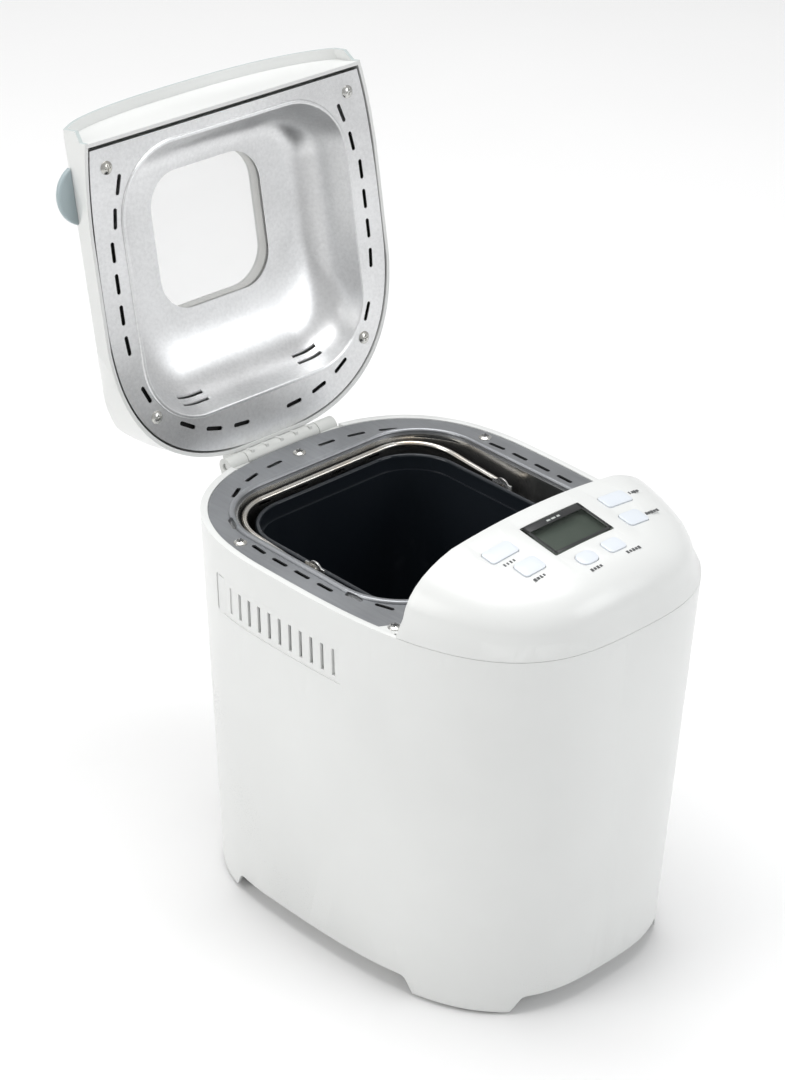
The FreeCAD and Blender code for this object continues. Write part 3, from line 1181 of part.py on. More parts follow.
def lid_form(wall, front_limit=None):
    """The lid's dome, drawn in by a wall: an arch across, falling to the hinge, inside the plan outline."""
    edge = LID_EDGE_Z - (1.0 if wall > 0 else 0.0)
    half = BODY_WIDTH / 2 - LID_SIDE_SET - wall
    rise = LID_RISE - wall
    front = LID_FRONT_Y - LIP_REACH if front_limit is None else front_limit
    reach = REAR_Y - LID_SIDE_SET - wall - WIDEST_Y

    def on_arch(across, along):
        return Vector(half * across, front, DECK_HEIGHT + rise * along)

    def on_fall(across, along):
        return Vector(-REACH, WIDEST_Y + reach * across, DECK_HEIGHT + (rise + LID_ROOF_CLEAR) * along)

    arch = arc_curve(on_arch, 0, 180, Vector(0, 0, 1), Vector(0, 0, -1), LID_ARCH_ROUNDNESS)
    floor = Part.makeLine(on_arch(-1, 0), on_arch(1, 0))
    tunnel = Part.Face(Part.Wire([arch, floor])).extrude(Vector(0, REACH, 0))
    fall = arc_curve(on_fall, 0, 90, Vector(0, 0, 1), Vector(0, -1, 0), REAR_DROP_ROUNDNESS)
    roof_front = Vector(-REACH, -REACH, DECK_HEIGHT + rise + LID_ROOF_CLEAR)
    floor_front = Vector(-REACH, -REACH, DECK_HEIGHT)
    side = Part.Wire([fall, Part.makeLine(on_fall(0, 1), roof_front), Part.makeLine(roof_front, floor_front),
                      Part.makeLine(floor_front, on_fall(1, 0))])
    profile = Part.Face(side).extrude(Vector(2 * REACH, 0, 0))
    return plan_prism(edge, LID_TOP + 5 - edge, wall).common(tunnel).common(profile)


def window_prism(grow, low, high):
    """Rounded prism through the lid at the window."""
    return rounded_prism(WINDOW_HALF_WIDTH + grow, WINDOW_HALF_LENGTH + grow, WINDOW_CORNER + grow,
                         low, high - low, WINDOW_Y)


def lid_cover():
    """Domed cover with a front wall behind its lip, a window opening and screw bosses for the liner."""
    outer = lid_form(0)
    shell = outer.cut(lid_form(SHELL_WALL, LID_FRONT_Y - LIP_REACH - 5))
    wall = lid_form(SHELL_WALL - 0.5, LID_FRONT_Y)
    wall = wall.common(box(-REACH, REACH, LID_FRONT_Y, LID_FRONT_Y + SHELL_WALL, LID_EDGE_Z, REACH))
    bosses = []
    for x, y in lid_screw_places():
        post = rod(x, y, LID_PLATE_Z + LINER_SHEET + 0.2, 4.2, 60).common(lid_form(SHELL_WALL - 0.5))
        bosses.append(post)
    cover = join([shell, wall] + bosses)
    tools = [window_prism(1.5, LID_PLATE_Z + 20, REACH)]
    tools += [rod(x, y, LID_EDGE_Z - 1, 1.6, 12) for x, y in lid_screw_places()]
    tools += both_sides(lip_corner())
    return cover.cut(tools)


def lip_corner():
    """Sloping corner taken off the end of the lid's lip, so that it clears the side of the control head."""
    near, far = HEAD_REAR_Y + 0.4, HEAD_REAR_Y - 2 * LIP_REACH
    low, high = LID_EDGE_Z - 5, LID_EDGE_Z + 11.5
    points = [Vector(97, near, low), Vector(97, near, high - 6), Vector(97, near - LIP_REACH, high),
              Vector(97, far, high), Vector(97, far, low)]
    return Part.Face(Part.makePolygon(points + points[:1])).extrude(Vector(REACH, 0, 0))


def dish_sections(grow):
    """Rounded rectangles from the dish's mouth to its floor; the rear side slopes most."""
    mouth_x, mouth_y = CHAMBER_HALF_WIDTH - 3.0, CHAMBER_HALF_LENGTH + 1.5
    corner = CHAMBER_CORNER
    sections = []
    # (share of the depth, side and front inset, extra rear inset)
    for share, inset, rear in ((0.0, 0.0, 0.0), (0.30, 2.2, 2.0), (0.60, 6.0, 7.0), (0.82, 11.5, 16.0),
                               (0.95, 18.0, 30.0), (1.0, 25.0, 44.0)):
        half_y = mouth_y - inset - rear / 2 + grow
        centre = -rear / 2 - 1.0
        z = LID_PLATE_Z + share * DISH_DEPTH
        sections.append((mouth_x - inset + grow, half_y, max(20.0, corner - inset * 0.8) + grow, z, centre))
    return sections


def dish_solid(grow, lift):
    """The dish's form; a lifted copy makes its sheet."""
    sections = [(a, b, r, z + (lift if k else 0.0), c) for k, (a, b, r, z, c) in enumerate(dish_sections(grow))]
    return rounded_loft(sections)


def lid_liner():
    """Metal ring and pressed dish inside the lid, with air slots, screw holes and the window opening."""
    z = LID_PLATE_Z
    plate = plan_prism(z, LINER_SHEET, LINER_MARGIN)
    plate = plate.common(box(-REACH, REACH, LID_FRONT_Y + SHELL_WALL + 2.5, REACH, 0, REACH))
    mouth_x, mouth_y, corner = dish_sections(0)[0][:3]
    bead = rounded_prism(mouth_x + 3.2, mouth_y + 3.2, corner + 3.2, z - 1.4, LINER_SHEET + 1.4, -1.0)
    bead = bead.cut(rounded_prism(mouth_x, mouth_y, corner, z - 5, 20, -1.0))
    bead = bead.makeFillet(1.2, [e for e in bead.Edges if e.BoundBox.ZMax < z - 1.39])
    outside = dish_solid(LINER_SHEET, LINER_SHEET)
    inside = dish_solid(0.0, 0.0)
    under = rounded_prism(mouth_x, mouth_y, corner, z - 5, 5.01, -1.0)
    dish = outside.cut(inside)
    liner = join([plate.cut(rounded_prism(mouth_x, mouth_y, corner, z - 5, 10, -1.0)), bead, dish]).cut(under)
    louvres = []
    for sign in (-1, 1):
        for k in range(2):
            louvres.append(box(sign * 52 - 11, sign * 52 + 11, CHAMBER_HALF_LENGTH - 26, REACH,
                               z + 10 + 6 * k, z + 12.5 + 6 * k))
    tools = [window_prism(0, z + DISH_DEPTH - 3, REACH)] + louvres + ring_slots(z - 2, 6)
    tools += [rod(x, y, z - 2, 2.0, 6) for x, y in lid_screw_places()]
    return liner.cut(tools)


def window_glass():
    """Clear pane flush with the lid's dome."""
    pane = window_prism(1.2, LID_TOP - 12, LID_TOP + 5)
    return pane.common(lid_form(0.25)).cut(lid_form(0.25 + GLASS_THICKNESS))


def inner_glass():
    """Clear pane over the liner's window opening, inside the lid."""
    low = LID_PLATE_Z + DISH_DEPTH + LINER_SHEET + 0.1
    return window_prism(5, low, low + GLASS_THICKNESS)


def window_seal():
    """Frame between the two panes."""
    low = LID_PLATE_Z + DISH_DEPTH + LINER_SHEET + 0.2 + GLASS_THICKNESS
    frame = window_prism(3.5, low, REACH).cut(window_prism(0.5, low - 1, REACH))
    frame = frame.common(lid_form(SHELL_WALL + 1.0))
    return frame.cut(window_glass())


def lid_screws():
    """Four screws that hold the liner, heads towards the chamber."""
    screws = []
    for x, y in lid_screw_places():
        screw = cross_screw(x, y, 0, SCREW_HEAD_RADIUS, SCREW_LENGTH)
        screw = screw.common(rod(x, y, -30, 1.55, 30.01).fuse(rod(x, y, -0.001, 9, 9)))
        screw.rotate(Vector(x, y, 0), X_AXIS, 180)
        screw.translate(Vector(0, 0, LID_PLATE_Z - 0.02))
        screws.append(screw)
    return group(screws)


def lid_grips():
    """Half-moon finger grips on the lid's sides, each with a flat inner face against the cover."""
    y = LID_FRONT_Y + GRIP_FROM_FRONT
    z = LID_PLATE_Z + GRIP_HEIGHT
    radius = (GRIP_LENGTH ** 2 / 4 + GRIP_REACH ** 2) / (2 * GRIP_REACH)
    edge = half_width_at(y)
    disc = rod(edge + GRIP_REACH - radius - 1.2, y, z - GRIP_THICKNESS / 2, radius, GRIP_THICKNESS)
    disc = disc.makeFillet(1.8, [e for e in disc.Edges if e.BoundBox.XLength > 5])
    arch_half = BODY_WIDTH / 2 - LID_SIDE_SET
    side = arch_half * superellipse((z - GRIP_THICKNESS / 2 - DECK_HEIGHT) / LID_RISE, LID_ARCH_ROUNDNESS) + 0.1
    grip = disc.common(box(side, REACH, -REACH, REACH, 0, REACH))
    return group(both_sides(grip))


def largest(shape):
    """The biggest solid of a shape."""
    return max(shape.Solids, key=lambda solid: solid.Volume)


# ---------------------------------------------------------------- assembly
FIXED = [outer_casing, base_plate, rubber_feet, base_screws, cord_gland, deck_plate, corner_blocks, deck_screws,
         baking_chamber, heat_shield, heating_element, element_clips, element_terminals, temperature_probe,
         pan_clips, bread_pan, pan_base_ring, pan_bush, pan_ears, bail_handle, pan_shaft, pan_coupler,
         kneading_paddle, drive_coupler, drive_shaft, pulley_nut, drive_belt, chassis, chassis_pillars,
         shaft_bushes, motor_can, motor_screws, motor_shaft, power_board, power_parts, control_head,
         display_lens, lcd_module, control_board, key_switches, hinge_base, hinge_pins]
LID = [lid_cover, lid_liner, window_glass, inner_glass, window_seal, lid_screws, lid_grips, lid_hinge_bracket]


def build():
    """Makes every node, opens the lid and centres the machine over the origin."""
    for make in FIXED:
        parts[make.__name__] = make()
    parts["drive_pulley"] = pulley(0, 0, BIG_PULLEY_RADIUS, DRIVE_SHAFT_RADIUS, 5.0, 5)
    parts["motor_pulley"] = pulley(0, MOTOR_Y, SMALL_PULLEY_RADIUS, 3.0, 0.0, 0)
    for name, size in KEYS.items():
        parts[name] = key_cap(*size)
    for make in LID:
        shape = make()
        shape.rotate(Vector(0, HINGE_Y, HINGE_Z), X_AXIS, -LID_ANGLE)
        parts[make.__name__] = shape
    whole = FreeCAD.BoundBox()
    for shape in parts.values():
        whole.add(shape.optimalBoundingBox())
    shift = Vector(0, -(whole.YMin + whole.YMax) / 2, 0)
    for shape in parts.values():
        shape.translate(shift)
    return shift, whole


def save():
    """Writes one STEP file per node."""
    os.makedirs("parts", exist_ok=True)
    for name, shape in parts.items():
        shape.exportStep("parts/" + name + ".step")


move, bounds = build()
save()
print("nodes", len(parts))
print("size", round(bounds.XLength, 2), round(bounds.YLength, 2), round(bounds.ZLength, 2))
print("drive axis y", round(move.y, 3), "motor axis y", round(MOTOR_Y + move.y, 3))
print("hinge y, z", round(HINGE_Y + move.y, 3), round(HINGE_Z, 3))
print("bail y, z", round(bail_pivot()[0] + move.y, 3), round(bail_pivot()[1], 3))
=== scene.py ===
"""Bread machine: the looks of every piece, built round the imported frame.

Each sub-assembly is a class.  It refines the frame's own pieces into smooth, softened skins and adds the
small things that belong to it, then dresses everything in its finish.
"""

import json
import logging
import math
from dataclasses import dataclass, field
from enum import Enum
from typing import Any, Callable, Iterable, Sequence

import bmesh
import bpy
from mathutils import Matrix, Vector
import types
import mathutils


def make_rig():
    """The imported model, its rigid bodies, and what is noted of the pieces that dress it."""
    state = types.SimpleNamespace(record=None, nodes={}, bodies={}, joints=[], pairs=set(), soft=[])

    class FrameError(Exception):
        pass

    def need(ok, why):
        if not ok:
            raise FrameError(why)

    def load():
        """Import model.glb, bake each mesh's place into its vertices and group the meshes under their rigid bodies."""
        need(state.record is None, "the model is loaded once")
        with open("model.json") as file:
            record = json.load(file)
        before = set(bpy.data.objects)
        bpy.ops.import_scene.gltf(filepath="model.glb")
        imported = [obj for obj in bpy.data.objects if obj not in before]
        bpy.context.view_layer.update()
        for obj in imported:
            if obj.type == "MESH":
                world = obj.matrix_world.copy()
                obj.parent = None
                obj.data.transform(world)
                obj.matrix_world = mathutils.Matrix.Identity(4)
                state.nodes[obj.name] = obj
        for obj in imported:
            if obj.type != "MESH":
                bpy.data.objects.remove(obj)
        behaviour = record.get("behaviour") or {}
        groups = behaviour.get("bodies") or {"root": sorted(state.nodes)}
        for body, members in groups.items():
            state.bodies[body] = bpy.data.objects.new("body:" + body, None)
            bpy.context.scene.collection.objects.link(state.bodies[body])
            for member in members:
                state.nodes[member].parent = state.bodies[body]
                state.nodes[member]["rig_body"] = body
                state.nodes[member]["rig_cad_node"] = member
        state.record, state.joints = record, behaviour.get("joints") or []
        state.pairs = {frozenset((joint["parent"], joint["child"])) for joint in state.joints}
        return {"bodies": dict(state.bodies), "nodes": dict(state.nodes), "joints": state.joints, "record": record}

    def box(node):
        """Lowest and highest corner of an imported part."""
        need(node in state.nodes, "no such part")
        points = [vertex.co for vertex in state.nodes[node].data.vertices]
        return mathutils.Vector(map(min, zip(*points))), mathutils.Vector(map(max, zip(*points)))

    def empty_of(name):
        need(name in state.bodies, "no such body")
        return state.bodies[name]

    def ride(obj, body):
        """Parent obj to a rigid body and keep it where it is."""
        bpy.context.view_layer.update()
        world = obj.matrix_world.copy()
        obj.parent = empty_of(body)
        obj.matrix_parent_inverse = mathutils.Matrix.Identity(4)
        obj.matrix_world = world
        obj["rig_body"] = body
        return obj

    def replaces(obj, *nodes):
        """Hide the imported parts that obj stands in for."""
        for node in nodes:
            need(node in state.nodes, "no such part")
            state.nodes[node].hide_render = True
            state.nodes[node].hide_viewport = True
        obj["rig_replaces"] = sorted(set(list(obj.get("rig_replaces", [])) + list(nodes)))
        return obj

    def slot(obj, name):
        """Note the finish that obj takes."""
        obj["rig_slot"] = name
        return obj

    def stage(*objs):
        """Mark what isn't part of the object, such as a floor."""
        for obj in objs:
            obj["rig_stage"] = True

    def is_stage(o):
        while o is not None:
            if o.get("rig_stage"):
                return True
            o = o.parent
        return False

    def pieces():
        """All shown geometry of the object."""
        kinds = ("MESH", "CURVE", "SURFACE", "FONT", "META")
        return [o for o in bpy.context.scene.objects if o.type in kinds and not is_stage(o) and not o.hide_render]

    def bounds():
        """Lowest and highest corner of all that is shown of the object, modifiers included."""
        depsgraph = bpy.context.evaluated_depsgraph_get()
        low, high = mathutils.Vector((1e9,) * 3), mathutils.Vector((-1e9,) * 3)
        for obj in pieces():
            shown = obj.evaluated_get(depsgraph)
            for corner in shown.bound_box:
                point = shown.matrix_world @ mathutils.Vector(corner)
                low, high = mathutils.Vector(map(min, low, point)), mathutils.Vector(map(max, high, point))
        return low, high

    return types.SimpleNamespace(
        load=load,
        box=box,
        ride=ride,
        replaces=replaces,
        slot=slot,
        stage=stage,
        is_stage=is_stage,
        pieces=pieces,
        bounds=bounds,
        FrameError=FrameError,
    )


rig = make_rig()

LOG = logging.getLogger("bread_machine")
Colour = tuple[float, float, float]
MM = 0.001


class Body(Enum):
    """The moving groups of the machine."""

    BASE = "base"
    LID = "lid"
    PAN = "pan"
    BAIL = "bail"
    PADDLE = "paddle"
    DRIVE = "drive"
    ROTOR = "rotor"


class Edge(Enum):
    """How much an edge is softened, in metres."""

    SHARP = 0.0
    FINE = 0.00015
    SOFT = 0.0004
    ROUND = 0.0009


# ---------------------------------------------------------------- shader expressions
class Value:
    """A number on a shader socket that can be used in Python expressions."""

    def __init__(self, surface: "Surface", socket: bpy.types.NodeSocket) -> None:
        """Wraps a socket of a surface's tree."""
        self.surface = surface
        self.socket = socket

    def _math(self, operation: str, first: Any, second: Any = None) -> "Value":
        """Adds one Math node.

        Args:
            operation: The node's operation.
            first: A Value or a number.
            second: A Value, a number, or nothing.

        Returns:
            The node's result.
        """
        inputs = {0: first} if second is None else {0: first, 1: second}
        return self.surface.value("ShaderNodeMath", {"operation": operation}, inputs)

    def __add__(self, other: Any) -> "Value":
        """self + other."""
        return self._math("ADD", self, other)

    __radd__ = __add__

    def __mul__(self, other: Any) -> "Value":
        """self * other."""
        return self._math("MULTIPLY", self, other)

    __rmul__ = __mul__

    def __sub__(self, other: Any) -> "Value":
        """self - other."""
        return self._math("SUBTRACT", self, other)

    def __rsub__(self, other: Any) -> "Value":
        """other - self."""
        return self._math("SUBTRACT", other, self)

    def __pow__(self, other: Any) -> "Value":
        """self ** other."""
        return self._math("POWER", self, other)

    def step(self, low: float, high: float) -> "Value":
        """Smoothly from 0 at low to 1 at high."""
        settings = {"interpolation_type": "SMOOTHSTEP"}
        return self.surface.value("ShaderNodeMapRange", settings, {0: self, 1: low, 2: high, 3: 0.0, 4: 1.0})


class Surface:
    """A material whose tree is built piece by piece."""

    def __init__(self, name: str) -> None:
        """Makes an empty material with a principled shader."""
        self.material = bpy.data.materials.new(name)
        self.material.use_nodes = True
        self.tree = self.material.node_tree
        self.tree.nodes.clear()
        self.output = self.node("ShaderNodeOutputMaterial", {}, {})
        self.shader = self.node("ShaderNodeBsdfPrincipled", {}, {})
        self.tree.links.new(self.shader.outputs[0], self.output.inputs[0])

    def node(self, kind: str, settings: dict[str, Any], inputs: dict[Any, Any]) -> bpy.types.Node:
        """Adds a node, sets it up, then fills its sockets.

        Args:
            kind: The node's type name.
            settings: Attributes of the node, set first; "stops" fills a colour ramp.
            inputs: Socket names or numbers, with values, sockets or Values.

        Returns:
            The new node.
        """
        made = self.tree.nodes.new(kind)
        for key, setting in settings.items():
            if key == "stops":
                self._fill_ramp(made, setting)
            else:
                setattr(made, key, setting)
        for key, source in inputs.items():
            self.connect(made.inputs[key], source)
        return made

    def _fill_ramp(self, ramp: bpy.types.Node, stops: Sequence[tuple[float, Colour]]) -> None:
        """Sets a colour ramp's stops."""
        elements = ramp.color_ramp.elements
        while len(elements) < len(stops):
            elements.new(0.5)
        for element, (place, colour) in zip(elements, stops):
            element.position = place
            element.color = (*colour, 1.0)

    def connect(self, socket: bpy.types.NodeSocket, source: Any) -> None:
        """Links or sets one socket from a Value, a socket, a colour or a number."""
        if isinstance(source, Value):
            self.tree.links.new(source.socket, socket)
        elif isinstance(source, bpy.types.NodeSocket):
            self.tree.links.new(source, socket)
        elif isinstance(source, tuple) and len(source) == 3 and socket.type == "RGBA":
            socket.default_value = (*source, 1.0)
        else:
            socket.default_value = source

    def value(self, kind: str, settings: dict[str, Any], inputs: dict[Any, Any], output: Any = 0) -> Value:
        """Adds a node and wraps one of its outputs."""
        return Value(self, self.node(kind, settings, inputs).outputs[output])

    def place(self, stretch: tuple[float, float, float] = (1.0, 1.0, 1.0)) -> bpy.types.NodeSocket:
        """Object coordinates, stretched along each axis."""
        where = self.node("ShaderNodeTexCoord", {}, {})
        return self.node("ShaderNodeMapping", {}, {0: where.outputs["Object"], 3: stretch}).outputs[0]

    def along(self, axis: int) -> Value:
        """The object coordinate along one axis, in metres."""
        where = self.node("ShaderNodeTexCoord", {}, {})
        return self.value("ShaderNodeSeparateXYZ", {}, {0: where.outputs["Object"]}, axis)

    def noise(self, scale: float, detail: float = 2.0,
              stretch: tuple[float, float, float] = (1.0, 1.0, 1.0)) -> Value:
        """Soft random variation, about 0.5 in the middle."""
        inputs = {"Vector": self.place(stretch), "Scale": scale, "Detail": detail}
        return self.value("ShaderNodeTexNoise", {}, inputs, "Fac")

    def cells(self, scale: float) -> Value:
        """Distance to the nearest of many scattered points."""
        return self.value("ShaderNodeTexVoronoi", {}, {"Vector": self.place(), "Scale": scale}, "Distance")

    def mix(self, first: Any, second: Any, factor: Any) -> bpy.types.NodeSocket:
        """A colour between two colours."""
        mixer = self.node("ShaderNodeMix", {"data_type": "RGBA"}, {0: factor, 6: first, 7: second})
        return mixer.outputs[2]

    def bump(self, height: Value, distance: float, strength: float = 1.0) -> bpy.types.NodeSocket:
        """A normal bent by a height field; the distance is in metres."""
        inputs = {"Strength": strength, "Distance": distance, "Height": height}
        return self.node("ShaderNodeBump", {}, inputs).outputs[0]

    def set(self, **inputs: Any) -> "Surface":
        """Fills sockets of the principled shader; underscores stand for spaces."""
        for key, source in inputs.items():
            self.connect(self.shader.inputs[key.replace("_", " ").title().replace("Ior", "IOR")], source)
        return self


# ---------------------------------------------------------------- finishes
@dataclass(frozen=True)
class MouldedPlastic:
    """Injection-moulded plastic with a fine spark texture and a faint gloss variation."""

    colour: Colour
    roughness: float = 0.34
    coat: float = 0.12
    grain: float = 1.6e-5
    grain_scale: float = 1500.0

    def make(self, name: str) -> bpy.types.Material:
        """Builds the material."""
        s = Surface(name)
        cloud = s.noise(7.0, 3.0)
        fine = s.noise(self.grain_scale, 2.0)
        shade = tuple(c * 0.955 for c in self.colour)
        s.set(base_color=s.mix(shade, self.colour, cloud.step(0.3, 0.7)),
              roughness=self.roughness + (cloud - 0.5) * 0.10 + (fine - 0.5) * 0.08,
              coat_weight=self.coat * (0.7 + cloud * 0.6), normal=s.bump(fine, self.grain))
        s.shader.inputs["Coat Roughness"].default_value = 0.18
        return s.material


@dataclass(frozen=True)
class SatinMetal:
    """Rolled or pressed sheet with a satin face, faint rolling lines and worn brighter spots."""

    colour: Colour
    roughness: float = 0.36
    sparkle: float = 0.05
    lines: tuple[float, float, float] = (1.0, 1.0, 1.0)
    metallic: float = 0.92

    def make(self, name: str) -> bpy.types.Material:
        """Builds the material."""
        s = Surface(name)
        cloud = s.noise(11.0, 3.0)
        fine = s.noise(2600.0, 1.0)
        rolled = s.noise(420.0, 2.0, self.lines)
        dark = tuple(c * 0.86 for c in self.colour)
        bright = tuple(min(1.0, c * 1.07) for c in self.colour)
        tone = cloud * 0.55 + rolled * 0.3 + fine * 0.15
        s.set(base_color=s.mix(dark, bright, tone.step(0.32, 0.68)),
              metallic=self.metallic,
              roughness=self.roughness + (cloud - 0.5) * 0.10 + (fine - 0.5) * self.sparkle * 2,
              normal=s.bump(fine * 0.7 + rolled * 0.3, 9.0e-6))
        return s.material


@dataclass(frozen=True)
class BrightWire:
    """Polished drawn steel with draw marks and a warm tint in places."""

    colour: Colour
    roughness: float = 0.2
    tint: Colour = (0.62, 0.53, 0.42)

    def make(self, name: str) -> bpy.types.Material:
        """Builds the material."""
        s = Surface(name)
        patch = s.noise(36.0, 3.0)
        draw = s.noise(900.0, 2.0, (1.0, 1.0, 0.25))
        s.set(base_color=s.mix(self.colour, self.tint, patch.step(0.42, 0.78)),
              metallic=1.0, roughness=self.roughness + draw * 0.14, normal=s.bump(draw, 8.0e-6))
        return s.material


@dataclass(frozen=True)
class NonStick:
    """Dark fluoropolymer coat with fine flecks and a soft sheen."""

    colour: Colour
    fleck: Colour

    def make(self, name: str) -> bpy.types.Material:
        """Builds the material."""
        s = Surface(name)
        cloud = s.noise(9.0, 3.0)
        orange_peel = s.noise(620.0, 2.0)
        fleck = 1 - s.cells(1300.0).step(0.06, 0.16)
        s.set(base_color=s.mix(self.colour, self.fleck, fleck * 0.5 + (cloud - 0.4) * 0.3),
              metallic=0.25, roughness=0.34 + (cloud - 0.5) * 0.12,
              coat_weight=0.25 + cloud * 0.15, normal=s.bump(orange_peel, 3.0e-5))
        return s.material


@dataclass(frozen=True)
class SoftRubber:
    """Matt rubber with dust in its grain."""

    colour: Colour

    def make(self, name: str) -> bpy.types.Material:
        """Builds the material."""
        s = Surface(name)
        dust = s.noise(160.0, 4.0)
        fine = s.noise(1400.0, 2.0)
        dusty = tuple(min(1.0, c + 0.06) for c in self.colour)
        s.set(base_color=s.mix(self.colour, dusty, dust.step(0.5, 0.8)),
              roughness=0.62 + (fine - 0.5) * 0.3, normal=s.bump(fine, 3.0e-5))
        return s.material


@dataclass(frozen=True)
class ClearGlass:
    """Clear pane: mostly see-through, with reflections that grow towards a glancing view."""

    tint: Colour
    clearness: float = 0.94
    body: Colour = (0.85, 0.86, 0.86)

    def make(self, name: str) -> bpy.types.Material:
        """Builds the material."""
        s = Surface(name)
        smear = s.noise(14.0, 3.0)
        deeper = tuple(c * 0.9 for c in self.body)
        s.set(base_color=s.mix(deeper, self.body, smear), roughness=0.03 + smear * 0.04)
        s.shader.inputs["Specular IOR Level"].default_value = 0.6
        through = s.node("ShaderNodeBsdfTransparent", {}, {0: self.tint})
        edge = s.value("ShaderNodeLayerWeight", {}, {"Blend": 0.25}, "Facing")
        factor = (1 - self.clearness) + edge * edge * 0.35 + smear * 0.01
        blend = s.node("ShaderNodeMixShader", {}, {0: factor, 1: through.outputs[0], 2: s.shader.outputs[0]})
        s.tree.links.new(blend.outputs[0], s.output.inputs[0])
        return s.material


@dataclass(frozen=True)
class LiquidCrystal:
    """Dark grey-green display glass with a faint cell grid."""

    colour: Colour

    def make(self, name: str) -> bpy.types.Material:
        """Builds the material."""
        s = Surface(name)
        cloud = s.noise(30.0, 2.0)
        grid = s.noise(900.0, 0.0, (1.0, 0.1, 0.1))
        lighter = tuple(min(1.0, c * 1.25) for c in self.colour)
        s.set(base_color=s.mix(self.colour, lighter, cloud * 0.6 + grid * 0.4),
              roughness=0.3 + cloud * 0.15, coat_weight=0.3 + cloud * 0.1, normal=s.bump(grid, 4.0e-6))
        return s.material


@dataclass(frozen=True)
class CircuitLaminate:
    """Lacquered glass-fibre board with a woven relief."""

    colour: Colour

    def make(self, name: str) -> bpy.types.Material:
        """Builds the material."""
        s = Surface(name)
        weave = s.noise(700.0, 1.0, (1.0, 0.3, 1.0))
        tracks = s.noise(90.0, 0.0)
        copper = tuple(min(1.0, c * 1.5 + 0.02) for c in self.colour)
        s.set(base_color=s.mix(self.colour, copper, tracks.step(0.52, 0.56)),
              roughness=0.35 + weave * 0.1, normal=s.bump(weave, 2.0e-5))
        return s.material


# ---------------------------------------------------------------- making pieces
def only_object_mode() -> None:
    """Leaves edit mode and clears the selection."""
    if bpy.context.object and bpy.context.object.mode != "OBJECT":
        bpy.ops.object.mode_set(mode="OBJECT")
    bpy.ops.object.select_all(action="DESELECT")


def take(thing: bpy.types.Object) -> bpy.types.Object:
    """Makes one object the only selected and active one."""
    only_object_mode()
    thing.hide_set(False)
    thing.select_set(True)
    bpy.context.view_layer.objects.active = thing
    return thing


def apply_modifier(thing: bpy.types.Object, kind: str, **settings: Any) -> None:
    """Adds one modifier and applies it.

    Args:
        thing: The piece.
        kind: The modifier's type name.
        **settings: The modifier's attributes.
    """
    take(thing)
    modifier = thing.modifiers.new(kind.title(), kind)
    for key, setting in settings.items():
        setattr(modifier, key, setting)
    bpy.ops.object.modifier_apply(modifier=modifier.name)


def smooth(thing: bpy.types.Object, degrees: float = 32.0) -> None:
    """Shades a piece smooth, with creases above an angle."""
    take(thing)
    bpy.ops.object.shade_smooth_by_angle(angle=math.radians(degrees))


def dress(thing: bpy.types.Object, finish: bpy.types.Material) -> None:
    """Gives a piece one material all over."""
    thing.data.materials.clear()
    thing.data.materials.append(finish)


def refined_skin(node: str, name: str, edge: Edge, degrees: float = 32.0) -> bpy.types.Object:
    """Copies a node, heals it into clean faces, softens its edges and shades it smooth.

    Args:
        node: The frame's node.
        name: The new piece's name.
        edge: How much the edges are softened.
        degrees: Creases above this angle stay.

    Returns:
        The new piece, at the origin.
    """
    take(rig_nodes()[node])
    bpy.ops.object.duplicate()
    skin = bpy.context.object
    skin.name = name
    skin.data.name = name
    for key in list(skin.keys()):
        if key.startswith("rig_"):
            del skin[key]
    skin.parent = None
    take(skin)
    bpy.ops.object.mode_set(mode="EDIT")
    bpy.ops.mesh.select_all(action="SELECT")
    bpy.ops.mesh.remove_doubles(threshold=2.0e-6)
    bpy.ops.mesh.customdata_custom_splitnormals_clear()
    if edge is not Edge.SHARP:
        bpy.ops.mesh.dissolve_limited(angle_limit=math.radians(0.4))
    bpy.ops.object.mode_set(mode="OBJECT")
    if edge is not Edge.SHARP:
        apply_modifier(skin, "BEVEL", width=edge.value, segments=2, limit_method="ANGLE",
                       angle_limit=math.radians(38), use_clamp_overlap=True, harden_normals=False)
    smooth(skin, degrees)
    return skin


_NODES: dict[str, bpy.types.Object] = {}


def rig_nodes() -> dict[str, bpy.types.Object]:
    """The frame's nodes by name."""
    return _NODES


def bevelled_block(name: str, low: Vector, high: Vector, radius: float,
                   turn: Matrix | None = None) -> bpy.types.Object:
    """A block between two corners with rounded edges.

    Args:
        name: The piece's name.
        low: Its lowest corner.
        high: Its highest corner.
        radius: The edges' radius.
        turn: A placement for the finished block.

    Returns:
        The new piece.
    """
    only_object_mode()
    bpy.ops.mesh.primitive_cube_add(size=1.0, location=(0, 0, 0))
    block = bpy.context.object
    block.name = name
    block.data.name = name
    size, centre = high - low, (high + low) / 2
    bpy.ops.object.mode_set(mode="EDIT")
    bpy.ops.mesh.select_all(action="SELECT")
    bpy.ops.transform.resize(value=tuple(size), center_override=(0, 0, 0))
    bpy.ops.mesh.bevel(offset=radius, segments=3, affect="EDGES")
    bpy.ops.transform.translate(value=tuple(centre))
    bpy.ops.object.mode_set(mode="OBJECT")
    if turn is not None:
        block.data.transform(turn)
    smooth(block, 40.0)
    return block


def joined(name: str, things: Sequence[bpy.types.Object]) -> bpy.types.Object:
    """Joins several pieces into one."""
    only_object_mode()
    for thing in things:
        thing.select_set(True)
    bpy.context.view_layer.objects.active = things[0]
    if len(things) > 1:
        bpy.ops.object.join()
    whole = bpy.context.object
    whole.name = name
    whole.data.name = name
    return whole


